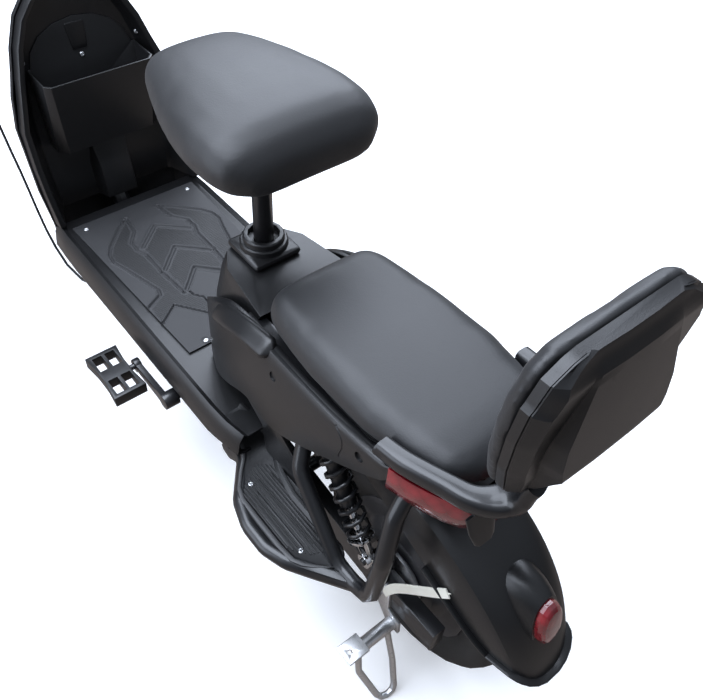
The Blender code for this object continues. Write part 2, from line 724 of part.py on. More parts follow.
def make_storage_pocket():
    """Open-topped tray on the leg shield, with an arched back plate and its screws' seats."""
    front_low, front_high = 0.888, 0.900
    low, rim_z, arch_z = 0.462, 0.601, 0.668
    gap = 0.0004

    def ring(z, front, half, chamfer):
        back = panel_fore(z) - gap
        return [(back, half, z), (front + chamfer, half, z), (front, half - chamfer, z),
                (front, -half + chamfer, z), (front + chamfer, -half, z), (back, -half, z)]

    wall = POCKET_WALL
    outer = lofted([ring(low, front_high, 0.101, 0.016), ring(rim_z, front_low, 0.1035, 0.010)])
    inner = lofted([[(f - (wall if i in (0, 5) else -wall), w * 0.972, z) for i, (f, w, z) in enumerate(line)]
                    for line in (ring(low + wall, front_high, 0.101, 0.016),
                                 ring(rim_z + 0.010, front_low, 0.1035, 0.010))])
    tray = cut(outer, inner)
    back_low = panel_fore(rim_z - 0.010) - gap
    back_high = panel_fore(arch_z) - gap
    arch = []
    for i in range(9):
        turn = math.pi * i / 8
        arch.append((0.096 * math.cos(turn), rim_z + (arch_z - rim_z) * math.sin(turn)))
    outline = [(0.100, rim_z - 0.012)] + arch + [(-0.100, rim_z - 0.012)]
    bm = bmesh.new()
    rows = []
    for shift in (0.0, -wall):
        row = []
        for w, z in outline:
            share = (z - rim_z + 0.010) / (arch_z - rim_z + 0.010)
            row.append(bm.verts.new(at(back_low + (back_high - back_low) * share + shift, w, z)))
        rows.append(row)
    bm.faces.new(rows[0])
    bm.faces.new(rows[1])
    count = len(outline)
    for i in range(count):
        j = (i + 1) % count
        bm.faces.new((rows[0][i], rows[0][j], rows[1][j], rows[1][i]))
    united(tray, from_bmesh(bm))
    return finish(tray, "storage_pocket", "body_plastic", 20)


def make_tower_cover():
    """Hood round the seat tube, from the floor up to the collar and back under the bench."""

    def ring(z, front, rear, narrow, wide, inset=0.0):
        front -= inset
        narrow -= inset
        wide -= inset
        corner = 0.35 * narrow
        return [(rear, wide, z), (front - 0.045, (wide + narrow) / 2 + 0.002, z), (front - 0.012, narrow, z),
                (front, corner, z), (front, -corner, z), (front - 0.012, -narrow, z),
                (front - 0.045, -(wide + narrow) / 2 - 0.002, z), (rear, -wide, z)]

    levels = [(0.3335, 0.4555, 0.345, 0.078, 0.094), (0.400, 0.452, 0.335, 0.073, 0.092),
              (0.470, 0.447, 0.318, 0.065, 0.088), (0.520, 0.442, 0.296, 0.055, 0.086),
              (0.5435, 0.438, 0.285, 0.047, 0.084)]
    outer = lofted([ring(*level) for level in levels])
    wall = COVER_WALL
    hollow = [ring(levels[0][0] - 0.02, *levels[0][1:], inset=wall)]
    hollow += [ring(*level, inset=wall) for level in levels[1:-1]]
    last = levels[-1]
    hollow.append(ring(last[0] - wall, *last[1:], inset=wall))
    hollow = [[(f - 0.030 if i in (0, 7) else f, w, z) for i, (f, w, z) in enumerate(row)] for row in hollow]
    cover = cut(outer, lofted(hollow))
    cut(cover, rod((SEAT_TUBE_FORE, 0, 0.50), (SEAT_TUBE_FORE, 0, 0.60), SEAT_TUBE_RADIUS + 2 * TOUCH, 24))
    return finish(cover, "seat_tower_cover", "body_plastic", 30)


def make_collar():
    """Stepped collar that closes the seat tube round the post."""
    low = 0.5435 + TOUCH
    half = COLLAR_SIDE / 2
    mid = SEAT_TUBE_FORE
    base = box((mid - half, -half, low), (mid + half, half, 0.556), 0.0)
    corner = base.modifiers.new("corner", "BEVEL")
    corner.width = 0.012
    corner.segments = 2
    corner.limit_method = "ANGLE"
    applied(base)
    top = COLLAR_TOP_Z
    ring = turned([(0.0, 0.550), (0.036, 0.550), (0.036, 0.564), (0.034, 0.566), (0.031, 0.566),
                   (0.031, top - 0.002), (0.029, top), (0.0, top)], 16)
    ring.data.transform(Matrix.Translation(at(mid, 0, 0)))
    bore = SEAT_POST_RADIUS + RUNNING
    well = turned([(0.0, 0.50), (bore, 0.50), (bore, 0.565), (0.024, 0.565), (0.024, 0.60), (0.0, 0.60)])
    well.data.transform(Matrix.Translation(at(mid, 0, 0)))
    united(base, ring)
    cut(base, well)
    return finish(base, "seat_collar", "body_plastic", 30)


def make_side_covers():
    """Side covers from the tower back to the tail, each with two screw bosses."""
    stations = [
        (0.436, [(0.0825, 0.462), (0.0840, 0.440), (0.0850, 0.390), (0.0855, 0.337)]),
        (0.392, [(0.0900, 0.500), (0.0985, 0.488), (0.1040, 0.420), (0.1030, 0.342)]),
        (0.345, [(0.0920, 0.530), (0.1080, 0.520), (0.1155, 0.450), (0.1130, 0.366)]),
        (0.280, [(0.0960, 0.5465), (0.1130, 0.540), (0.1215, 0.470), (0.1200, 0.402)]),
        (0.205, [(0.1000, 0.5480), (0.1150, 0.544), (0.1240, 0.480), (0.1215, 0.400)]),
        (0.090, [(0.1070, 0.5560), (0.1190, 0.552), (0.1240, 0.510), (0.1200, 0.466)]),
        (0.000, [(0.1120, 0.5700), (0.1200, 0.567), (0.1215, 0.549), (0.1195, 0.530)]),
        (-0.020, [(0.1110, 0.5750), (0.1175, 0.574), (0.1195, 0.563), (0.1185, 0.550)]),
    ]
    sections = [[(distance, w, z) for w, z in line] for distance, line in stations]
    cover = shell(sections, COVER_WALL)
    for distance in COVER_BOLT_FORES:
        boss = rod((distance, 0.104 + TOUCH, UPPER_RAIL_Z + 0.004), (distance, 0.1195, UPPER_RAIL_Z + 0.004),
                   0.006, 12)
        united(cover, boss)
    right = mirrored(cover)
    return (finish(cover, "side_cover_left", "body_plastic", 30),
            finish(right, "side_cover_right", "body_plastic", 30))


def make_footrests():
    """Ribbed pads inside the footrest tubes, with a flange up to the side cover."""
    z = FOOTREST_Z
    edge = FOOTREST_OUTER_Y - 0.0085
    outline = [(0.266, 0.118), (0.250, 0.138), (0.226, 0.159), (0.196, edge - 0.011), (0.160, edge),
               (0.121, edge), (0.088, edge - 0.010), (0.060, 0.163), (0.058, 0.148), (0.072, 0.130),
               (0.078, 0.112), (0.120, 0.104), (0.240, 0.104)]
    pad = plate(outline, z - 0.006, z, "XY")
    ribs = 9
    for i in range(ribs):
        y = 0.126 + i * 0.0072
        start = 0.078 + 1.4 * max(0.0, 0.135 - y) + 1.1 * max(0.0, y - 0.160)
        end = 0.214 - 1.3 * max(0.0, y - 0.150)
        united(pad, box((start, y - 0.0012, z - 0.001), (end, y + 0.0012, z + 0.0014)))
    flange = lofted([[(0.252, 0.104, z - 0.004), (0.252, 0.108, z - 0.004),
                      (0.130, 0.108, z - 0.004), (0.130, 0.104, z - 0.004)],
                     [(0.258, 0.104, 0.345), (0.258, 0.108, 0.345),
                      (0.165, 0.108, 0.345), (0.165, 0.104, 0.345)],
                     [(0.284, 0.112, 0.394), (0.284, 0.116, 0.394),
                      (0.196, 0.116, 0.393), (0.196, 0.112, 0.393)]])
    united(pad, flange)
    loop = bpy.data.objects["guard_loop_left"]
    keepaway = link(loop.data.copy())
    grow = keepaway.modifiers.new("grow", "DISPLACE")
    grow.strength = 2 * TOUCH
    grow.mid_level = 0.0
    applied(keepaway)
    cut(pad, keepaway)
    right = mirrored(pad)
    return (finish(pad, "footrest_left", "body_plastic", 30),
            finish(right, "footrest_right", "body_plastic", 30))


# Tail, bench and saddle

def bench_half_width(distance):
    """Half width of the bench's foot: narrow in front, full towards the tail."""
    share = min(1.0, max(0.0, (BENCH_FRONT_FORE - distance) / 0.240))
    width = 0.072 + 0.038 * math.sin(share * math.pi / 2)
    marks = (BENCH_REAR_FORE, -0.094, -0.084, -0.070, -0.039, 0.000, 0.040)
    return min(width, float(np.interp(distance, marks, (0.022, 0.044, 0.063, 0.0785, 0.0890, 0.1005, 0.110))))


def bench_foot_z(distance):
    """Height of the bench's lower edge, rising a little towards the tail."""
    share = min(1.0, max(0.0, (BENCH_KINK_FORE - distance) / (BENCH_KINK_FORE - BENCH_REAR_FORE)))
    return BENCH_SEAM_Z + 0.006 + 0.016 * share


def bench_ring(distance, width, z):
    """Closed outline across the bench at one station: flat foot, drawn-in sides, crown."""
    foot = bench_foot_z(distance)
    lift = z - foot
    half = [(0.0, foot), (0.60 * width, foot), (0.965 * width, foot), (width, foot + 0.28 * lift),
            (0.985 * width, foot + 0.52 * lift), (0.900 * width, foot + 0.80 * lift),
            (0.700 * width, foot + 0.94 * lift), (0.350 * width, foot + 0.99 * lift), (0.0, z)]
    loop = half + [(-w, h) for w, h in reversed(half[1:-1])]
    return [(distance, w, h) for w, h in loop]


def make_bench_cushion():
    """Rear bench cushion with a low crown, rounded at both ends."""
    front, rear = BENCH_FRONT_FORE, BENCH_REAR_FORE
    stations = []
    kink = (front - BENCH_KINK_FORE) / (front - rear)
    for share, shrink, lift in ((0.0, 0.72, 0.30), (0.015, 0.90, 0.66), (0.05, 1.0, 0.90), (0.13, 1.0, 1.0),
                                (kink, 1.0, 1.0), (0.50, 1.0, 1.0), (0.70, 1.0, 1.0), (0.84, 1.0, 0.98),
                                (0.92, 1.0, 0.93), (0.96, 1.0, 0.82), (0.985, 1.0, 0.62), (1.0, 1.0, 0.30)):
        distance = front + (rear - front) * share
        foot = bench_foot_z(distance)
        top = BENCH_CROWN_Z - 0.006 * abs(share - 0.45)
        stations.append(bench_ring(distance, bench_half_width(distance) * shrink, foot + (top - foot) * lift))
    cushion = lofted(stations)
    return finish(cushion, "bench_cushion", "soft_black", 60, (BENCH_HINGE_FORE, 0, BENCH_HINGE_Z))


def make_bench_pan():
    """Moulded pan under the bench cushion, with the hinge tongue at its front."""
    front, rear = BENCH_FRONT_FORE - 0.006, BENCH_REAR_FORE + 0.006
    rows = []
    for share in (0.0, 0.08, (front - BENCH_KINK_FORE) / (front - rear), 0.45, 0.65, 0.85, 0.95, 1.0):
        distance = front + (rear - front) * share
        width = bench_half_width(distance) - 0.007
        high = bench_foot_z(distance) - TOUCH
        low = high - 0.0045
        rows.append([(distance, width, high), (distance, width, low), (distance, -width, low),
                     (distance, -width, high)])
    pan = lofted(rows)
    for distance in (0.215, -0.075):
        foot_low = UPPER_RAIL_Z + UPPER_RAIL_RADIUS + 2 * TOUCH
        for side in (-1, 1):
            y = side * UPPER_RAIL_Y
            united(pan, box((distance - 0.009, y - 0.009, foot_low),
                            (distance + 0.009, y + 0.009, bench_foot_z(distance) - 0.002)))
    return finish(pan, "bench_pan", "body_plastic", 0, (BENCH_HINGE_FORE, 0, BENCH_HINGE_Z))


def make_tail_lens():
    """Red lens wrapped round the tail under the grab rail."""
    line = [(-0.0215, 0.1185), (-0.045, 0.1135), (-0.070, 0.1050), (-0.092, 0.0950), (-0.110, 0.0830),
            (-0.1210, 0.0640), (-0.1250, 0.0400), (-0.1260, 0.015)]
    sections = []
    for distance, w in line:
        share = (w - 0.015) / 0.10
        low = 0.514 + 0.022 * share
        high = 0.5815 - 0.003 * share
        sections.append([(distance, w, high), (distance - 0.002, w + 0.0025 * share, (high + low) / 2),
                         (distance + 0.003, w - 0.002, low)])
    sections += [[(f, -w, z) for f, w, z in section] for section in reversed(sections)]
    lens = shell(sections, 0.003, inward=False)
    cross = UPPER_RAIL_REAR_FORE + 0.012
    for side in (-1, 1):
        united(lens, rod((cross, side * 0.030, UPPER_RAIL_Z), (-0.1275, side * 0.030, 0.545), 0.005, 8))
    cut(lens, rod((cross, -0.07, UPPER_RAIL_Z), (cross, 0.07, UPPER_RAIL_Z), 0.0096))
    return finish(lens, "tail_lens", "red_lens", 30)


def rail_path():
    """Middle line of the grab rail: along the tail, round it and up to the backrest."""
    half = [(0.018, 0.1195, 0.5905), (-0.036, 0.1100, 0.5960), (-0.085, 0.0950, 0.5990),
            (-0.118, 0.0855, 0.6010), (-0.134, 0.0700, 0.6015), (-0.1385, 0.0500, 0.6020),
            (-0.1385, 0.0200, 0.6030)]
    return half + [(f, -w, z) for f, w, z in reversed(half)]


def post_path(side, reach):
    """Middle line of one backrest post, from the grab rail up into the backrest."""
    return [(-0.1355, side * 0.050, 0.6025), (-0.150, side * 0.050, 0.626),
            (-0.156, side * 0.050, BACKREST_LOW_Z + reach)]


def make_grab_rail():
    """Cast rail round the tail, its feet bolted to the rear frame, its horn carrying the backrest."""
    rail = tube(rounded_path(rail_path(), 0.030, 1), 0.0115, 8)
    for side in (-1, 1):
        post = tube(rounded_path(post_path(side, 0.045), 0.02, 2), 0.0095, 8)
        stay = tube(rounded_path([(-0.1345, side * 0.050, 0.6025), (-0.1150, side * 0.050, 0.588),
                                  (-0.1135, side * 0.050, 0.540), (-0.1110, side * 0.055, UPPER_RAIL_Z),
                                  (UPPER_RAIL_REAR_FORE - TOUCH, side * UPPER_RAIL_Y, UPPER_RAIL_Z)],
                                 0.014, 1), 0.0060, 6)
        united(rail, post, stay)
    return finish(rail, "grab_rail", "gloss_black", 40)


def back_line(z):
    """Distance ahead of the rear axle of the backrest's front face at height z."""
    return BACKREST_FRONT_FORE - (z - BACKREST_LOW_Z) * math.tan(BACKREST_LEAN)


def backrest_ring(offset, shrink):
    """Outline of the backrest across the moped, at a depth behind its front face."""
    w = BACKREST_HALF_WIDTH - shrink
    low = BACKREST_LOW_Z + shrink
    high = BACKREST_HIGH_Z - shrink
    half = [(0.0, low), (0.62 * w, low), (0.80 * w, low + 0.020), (0.93 * w, low + 0.070), (w, low + 0.125),
            (0.985 * w, high - 0.050), (0.90 * w, high - 0.018), (0.72 * w, high - 0.004), (0.0, high)]
    loop = half + [(-y, z) for y, z in reversed(half[1:-1])]
    return [(back_line(z) - offset, y, z) for y, z in loop]


BACKREST_PAD_DEPTH = 0.022
BACKREST_SHELL_DEPTH = 0.043


def make_backrest_pad():
    depth = BACKREST_PAD_DEPTH
    pad = lofted([backrest_ring(depth, 0.0015), backrest_ring(0.014, 0.0), backrest_ring(0.004, 0.006),
                  backrest_ring(0.0, 0.018)])
    return finish(pad, "backrest_pad", "soft_black", 60)


def make_backrest_shell():
    """Faceted rear shell of the backrest, bored for the posts of the grab rail."""
    start = BACKREST_PAD_DEPTH + TOUCH
    deep = start + BACKREST_SHELL_DEPTH
    back = lofted([backrest_ring(start, 0.0), backrest_ring(start + 0.014, 0.0015),
                   backrest_ring(deep - 0.006, 0.030), backrest_ring(deep, 0.044)])
    for side in (-1, 1):
        post = tube(rounded_path(post_path(side, 0.0453), 0.02, 2), 0.0095 + 3 * TOUCH, 8)
        cut(back, post)
    return finish(back, "backrest_shell", "body_plastic", 25)


def saddle_half_width(share):
    """Half width of the saddle from its rear (0) to its nose (1)."""
    marks = (0.0, 0.06, 0.20, 0.40, 0.60, 0.80, 0.94, 1.0)
    widths = (0.66, 0.90, 1.00, 0.975, 0.860, 0.700, 0.57, 0.36)
    return SADDLE_HALF_WIDTH * float(np.interp(share, marks, widths))


def make_saddle():
    """Wide front saddle with a domed top, drawn-in sides and a flat underside."""
    rings = []
    rear = SADDLE_MID_FORE - SADDLE_LENGTH / 2
    for share, lift in ((0.0, 0.30), (0.02, 0.55), (0.07, 0.80), (0.16, 0.96), (0.30, 1.0), (0.45, 0.99),
                        (0.60, 0.96), (0.75, 0.91), (0.88, 0.82), (0.96, 0.62), (1.0, 0.34)):
        distance = rear + SADDLE_LENGTH * share
        width = saddle_half_width(share)
        low = SADDLE_UNDERSIDE_Z + 0.028 * max(0.0, share - 0.72)
        top = low + (SADDLE_CROWN_Z - low) * lift
        edge = min(SADDLE_EDGE_Z, low + 0.62 * (top - low))
        half = [(0.0, low), (0.55 * width, low), (0.88 * width, low + 0.10 * (edge - low)),
                (0.975 * width, low + 0.45 * (edge - low)), (width, edge),
                (0.93 * width, edge + 0.52 * (top - edge)), (0.74 * width, edge + 0.84 * (top - edge)),
                (0.40 * width, edge + 0.97 * (top - edge)), (0.0, top)]
        loop = half + [(-w, z) for w, z in reversed(half[1:-1])]
        rings.append([(distance, w, z) for w, z in loop])
    saddle = lofted(rings)
    return finish(saddle, "saddle", "soft_black", 60, (SEAT_TUBE_FORE, 0, SADDLE_UNDERSIDE_Z))


def make_seat_post():
    """Seat post with the cradle and the two stub springs that carry the saddle."""
    top = SADDLE_UNDERSIDE_Z - TOUCH
    post = rod((SEAT_TUBE_FORE, 0, 0.300), (SEAT_TUBE_FORE, 0, top - 0.016), SEAT_POST_RADIUS)
    clamp = rod((SEAT_TUBE_FORE, -0.024, top - 0.030), (SEAT_TUBE_FORE, 0.024, top - 0.030), 0.015, 14)
    cradle = box((SEAT_TUBE_FORE - 0.075, -0.030, top - 0.010), (SEAT_TUBE_FORE + 0.070, 0.030, top), 0.002)
    neck = rod((SEAT_TUBE_FORE, 0, top - 0.040), (SEAT_TUBE_FORE, 0, top - 0.005), 0.018, 16)
    united(post, clamp, cradle, neck)
    return finish(post, "seat_post", "black_paint", 35, (SEAT_TUBE_FORE, 0, SADDLE_UNDERSIDE_Z))


# Swing arm, rear wheel and drive

AXLE = (0.0, TYRE_RADIUS)
FRONT_AXLE = (WHEELBASE, TYRE_RADIUS)
SWING_PIVOT = (SWING_PIVOT_FORE, 0, SWING_PIVOT_Z)


def make_swing_arm():
    """Two box arms on a pivot sleeve, a cross tube and the shocks' lower pins."""
    outline = [(0.342, 0.219), (0.348, 0.235), (0.342, 0.251), (0.322, 0.257), (0.200, 0.238),
               (0.060, 0.216), (ARM_REAR_FORE, 0.215), (ARM_REAR_FORE, 0.165), (0.050, 0.165),
               (0.200, 0.182), (0.322, 0.213)]
    pin_y = SHOCK_Y + SHOCK_EYE_WIDTH / 2 + 0.0025
    arm = None
    for side in (-1, 1):
        low, high = sorted((side * ARM_INNER_Y, side * ARM_OUTER_Y))
        beam = plate(outline, low, high)
        tab_low, tab_high = sorted((side * (ARM_OUTER_Y - 0.008), side * ARM_OUTER_Y))
        tab = plate([(0.034, 0.200), (0.030, 0.275), (0.020, 0.300), (0.000, 0.300), (-0.008, 0.275),
                     (-0.012, 0.200)], tab_low, tab_high)
        pin = rod((SHOCK_LOW_FORE, side * (ARM_OUTER_Y - 0.004), SHOCK_LOW_Z),
                  (SHOCK_LOW_FORE, side * pin_y, SHOCK_LOW_Z), SHOCK_PIN_RADIUS, 16)
        beam = united(beam, tab, pin)
        arm = beam if arm is None else united(arm, beam)
    sleeve_reach = RAIL_Y - 0.0105 - 0.0007
    sleeve = rod((SWING_PIVOT_FORE, -sleeve_reach, SWING_PIVOT_Z), (SWING_PIVOT_FORE, sleeve_reach, SWING_PIVOT_Z),
                 0.0155, 16)
    cross = rod((ARM_CROSS_FORE, -ARM_INNER_Y - 0.004, ARM_CROSS_Z),
                (ARM_CROSS_FORE, ARM_INNER_Y + 0.004, ARM_CROSS_Z), ARM_CROSS_RADIUS, 14)
    united(arm, sleeve, cross)
    cut(arm, rod((SWING_PIVOT_FORE, -0.11, SWING_PIVOT_Z), (SWING_PIVOT_FORE, 0.11, SWING_PIVOT_Z),
                 SWING_BOLT_RADIUS + RUNNING),
        rod((0, -0.11, TYRE_RADIUS), (0, 0.11, TYRE_RADIUS), REAR_AXLE_RADIUS + 2 * TOUCH))
    return finish(arm, "swing_arm", "black_paint", 35, SWING_PIVOT)


def make_rear_axle():
    """Rear axle with its nuts, the brake plate on the left and the stand plates outside the arms."""
    axle = rod((0, -0.104, TYRE_RADIUS), (0, 0.104, TYRE_RADIUS), REAR_AXLE_RADIUS)
    panel = turned_across([(0.0, 0.0395), (0.052, 0.0395), (0.055, 0.0425), (0.055, 0.0470), (0.0, 0.0470)],
                          AXLE, 16, closed=False)
    lever = plate([(0.004, 0.196), (0.004, 0.184), (0.060, 0.146), (0.068, 0.150), (0.066, 0.158)],
                  0.0440, 0.0480)
    united(axle, panel, lever)
    for side in (-1, 1):
        out = ARM_OUTER_Y + TOUCH
        low, high = sorted((side * out, side * (out + STAY_PLATE)))
        stay = plate([(0.016, 0.198), (0.010, 0.206), (-0.010, 0.214), (-0.026, 0.214), (-0.028, 0.160),
                      (-0.054, 0.150), (-0.056, 0.122), (-0.040, 0.118), (-0.026, 0.124), (0.010, 0.176)],
                     low, high)
        low, high = sorted((side * (out + 0.004), side * (out + 0.013)))
        nut = rod((0, low, TYRE_RADIUS), (0, high, TYRE_RADIUS), 0.0135, 6)
        low, high = sorted((side * (out + 0.002), side * 0.158))
        pin = rod((STAND_PIVOT_FORE, low, STAND_PIVOT_Z), (STAND_PIVOT_FORE, high, STAND_PIVOT_Z),
                  STAND_PIN_RADIUS, 14)
        united(axle, stay, nut, pin)
    return finish(axle, "rear_axle", "zinc", 30, SWING_PIVOT)


def fender_arc(radius, start, end, count):
    """Points round the rear axle from one angle to another, as (fore, z)."""
    for i in range(count):
        turn = math.radians(start + (end - start) * i / (count - 1))
        yield (radius * math.cos(turn), TYRE_RADIUS + radius * math.sin(turn))


def make_rear_fender():
    """Mudguard over the rear wheel, with flat sides, a swollen crown and a flared lip."""
    sections = []
    count = 13
    crown = 0.262
    front_crown = 0.2395
    for i in range(count):
        share = i / (count - 1)
        angle = math.radians(13.0 + (170.0 - 13.0) * share)
        swell = share * (170.0 - 13.0) / 175.0
        reach = front_crown + (crown - front_crown) * min(1.0, swell * 3.5)
        width = 0.038 + 0.030 * math.sin(math.pi * min(1.0, max(0.0, (swell - 0.2) / 0.8)) ** 0.9)
        side = 0.030 + 0.060 * math.sin(math.pi * min(1.0, max(0.0, (swell - 0.15) / 0.85)))
        flare = 0.0055 if share > 0.98 else 0.0
        round_end = math.radians(11.0) * max(0.0, (share - 0.80) / 0.20) ** 2
        row = []
        for w, drop in ((width, side), (width - 0.001, 0.016), (0.70 * width, 0.004), (0.30 * width, 0.0)):
            r = reach - drop + flare
            turn = angle - round_end * (w / width) ** 2
            row.append((r * math.cos(turn), w, TYRE_RADIUS + r * math.sin(turn)))
        row += [(f, -w, z) for f, w, z in reversed(row)]
        sections.append(row)
    fender = shell(sections, 0.0025)
    return finish(fender, "rear_fender", "body_plastic", 30, SWING_PIVOT)


def make_fender_lamp():
    """Oval red lamp under a small hood on the fender's rear."""
    angle = math.radians(142.0)
    seat = 0.2624
    centre = Vector((seat * math.cos(angle), 0.0, TYRE_RADIUS + seat * math.sin(angle)))
    lamp = turned([(0.0, 0.0), (0.030, 0.0), (0.030, 0.006), (0.024, 0.013), (0.012, 0.017), (0.0, 0.018)], 20)
    lamp.data.transform(Matrix.Diagonal(Vector((1.0, 0.72, 1.0, 1.0))))
    outward = Matrix.Rotation(math.pi / 2 - angle, 4, "Y")
    lamp.data.transform(Matrix.Translation(at(*centre)) @ outward)
    return finish(lamp, "fender_lamp", "red_lens", 40, SWING_PIVOT)


def make_fender_stays():
    """Flat strips from the arm ends up to the fender's sides."""
    made = []
    for side, name in ((1, "fender_stay_left"), (-1, "fender_stay_right")):
        rows = []
        face = ARM_OUTER_Y + STAY_PLATE + 2 * TOUCH
        for f, y, z in ((-0.018, face, 0.207), (-0.040, face, 0.258), (-0.092, 0.0725, 0.322),
                        (-0.112, 0.0672, 0.346)):
            across = Vector((0.0043, 0.0, 0.0035))
            rows.append([(f + across.x, side * y, z - across.z), (f + across.x, side * (y + 0.002), z - across.z),
                         (f - across.x, side * (y + 0.002), z + across.z), (f - across.x, side * y, z + across.z)])
        made.append(finish(lofted(rows), name, "cream_paint", 0, SWING_PIVOT))
    return made


def tyre_profile():
    seat = RIM_SEAT_RADIUS
    half = TYRE_WIDTH / 2
    r = TYRE_RADIUS
    outer = [(seat, 0.74 * half), (seat + 0.013, 0.92 * half), (seat + 0.030, half), (r - 0.016, 0.95 * half),
             (r - 0.005, 0.62 * half), (r, 0.22 * half)]
    inner = [(seat, 0.50 * half), (seat + 0.030, half - TYRE_WALL), (r - 0.014, 0.42 * half)]
    return (outer + [(q, -w) for q, w in reversed(outer)]
            + [(q, -w) for q, w in inner] + [(q, w) for q, w in reversed(inner)])


def make_tyre(name, centre):
    """Tyre with an air space that opens towards the rim."""
    tyre = turned_across(tyre_profile(), centre, FACETS_LARGE, start=0.0)
    axis = (centre[0], 0, centre[1])
    return finish(tyre, name, "tyre_rubber", 40, axis)


def rim_profile(outer):
    """Rim cross-section from its right edge to its left edge, as (radius, y)."""
    half = RIM_WIDTH / 2
    return [(outer, -half), (outer, -0.55 * half), (outer - 0.004, -0.45 * half), (outer - 0.004, 0.45 * half),
            (outer, 0.55 * half), (outer, half)]


def make_hub_motor():
    """Rear rim with the motor drum in its middle and the chain's sprocket on the right."""
    seat = RIM_SEAT_RADIUS - TOUCH - 0.0002
    half = HUB_MOTOR_WIDTH / 2
    r = HUB_MOTOR_RADIUS
    bore = REAR_AXLE_RADIUS + RUNNING
    lip = RIM_WIDTH / 2
    tooth = (SPROCKET_Y - 0.0010, SPROCKET_Y + 0.0010)
    profile = rim_profile(seat) + [(seat - 0.012, lip), (r, half - 0.012), (r - 0.018, half),
                                   (bore, half + 0.0015), (bore, tooth[0]), (SPROCKET_RADIUS, tooth[0]),
                                   (SPROCKET_RADIUS, tooth[1]), (0.017, tooth[1]), (0.020, -half),
                                   (r - 0.018, -half), (r, -half + 0.012), (seat - 0.012, -lip)]
    hub = turned_across(profile, AXLE, start=0.0)
    return finish(hub, "hub_motor", "cast_alloy", 35, (0, 0, TYRE_RADIUS))


def loop_outline(radius_front, radius_rear, facets=14):
    """Outline of a belt round the crank's ring and the wheel's sprocket, as (fore, z)."""
    front = np.array((CRANK_FORE, CRANK_Z))
    rear = np.array(AXLE)
    line = front - rear
    length = float(np.hypot(*line))
    lean = math.atan2(line[1], line[0])
    open_angle = math.acos((radius_front - radius_rear) / length)
    points = []
    for i in range(facets + 1):
        turn = lean - open_angle + 2 * open_angle * i / facets
        points.append((front[0] + radius_front * math.cos(turn), front[1] + radius_front * math.sin(turn)))
    rest = 2 * math.pi - 2 * open_angle
    for i in range(facets + 1):
        turn = lean + open_angle + rest * i / facets
        points.append((rear[0] + radius_rear * math.cos(turn), rear[1] + radius_rear * math.sin(turn)))
    return points


def make_chain():
    """Drive chain as one band round the chainring and the sprocket."""
    gap = 0.0012
    low, high = SPROCKET_Y - CHAIN_WIDTH / 2, SPROCKET_Y + CHAIN_WIDTH / 2
    inner = (CHAINRING_RADIUS + gap, SPROCKET_RADIUS + gap)
    outer = loop_outline(inner[0] + 0.006, inner[1] + 0.006)
    hole = loop_outline(*inner)
    bm = bmesh.new()
    rings = [[bm.verts.new(at(u, y, v)) for u, v in line] for line, y in
             ((outer, low), (outer, high), (hole, high), (hole, low))]
    count = len(outer)
    for a, b in zip(rings, rings[1:] + rings[:1]):
        for i in range(count):
            j = (i + 1) % count
            bm.faces.new((a[i], a[j], b[j], b[i]))
    return finish(from_bmesh(bm), "drive_chain", "zinc", 30, (0, 0, TYRE_RADIUS))


def make_crankset():
    """Spindle, chainring and two cranks in one turning piece."""
    reach = CRANK_ARM_INNER_Y + CRANK_ARM_THICKNESS
    centre = (CRANK_FORE, CRANK_Z)
    r = SPINDLE_RADIUS
    shell_end = BRACKET_SHELL_WIDTH / 2 + TOUCH
    profile = [(0.0, -reach + 0.002), (r, -reach + 0.002), (r, SPROCKET_Y - 0.006), (0.016, SPROCKET_Y - 0.006),
               (0.016, SPROCKET_Y - 0.001), (CHAINRING_RADIUS, SPROCKET_Y - 0.001),
               (CHAINRING_RADIUS, SPROCKET_Y + 0.001), (0.016, SPROCKET_Y + 0.001), (0.016, -shell_end),
               (r, -shell_end), (r, shell_end), (0.014, shell_end), (0.014, shell_end + 0.005),
               (r, shell_end + 0.005), (r, reach - 0.002), (0.0, reach - 0.002)]
    spindle = turned_across(profile, centre, FACETS_MEDIUM, closed=False)
    inner = CRANK_ARM_INNER_Y
    pin_end = PEDAL_OUTER_Y - 0.006
    for side in (-1, 1):
        root = rod((CRANK_FORE, side * 0.1535, CRANK_Z), (CRANK_FORE, side * (reach + 0.001), CRANK_Z), 0.015)
        tip = (CRANK_FORE + side * CRANK_LENGTH, CRANK_Z)
        low, high = sorted((side * inner, side * reach))
        toward = side
        arm = plate([(CRANK_FORE + toward * 0.004, CRANK_Z - 0.0120), (tip[0], CRANK_Z - 0.0080),
                     (tip[0], CRANK_Z + 0.0080), (CRANK_FORE + toward * 0.004, CRANK_Z + 0.0120)], low, high)
        eye = rod((tip[0], side * (inner - 0.0008), CRANK_Z), (tip[0], side * (reach + 0.0008), CRANK_Z), 0.0125, 14)
        pin = rod((tip[0], side * (inner + 0.002), CRANK_Z), (tip[0], side * pin_end, CRANK_Z),
                  PEDAL_PIN_RADIUS, 12)
        united(spindle, root, arm, eye, pin)
    return finish(spindle, "crankset", "black_paint", 35, (CRANK_FORE, 0, CRANK_Z))


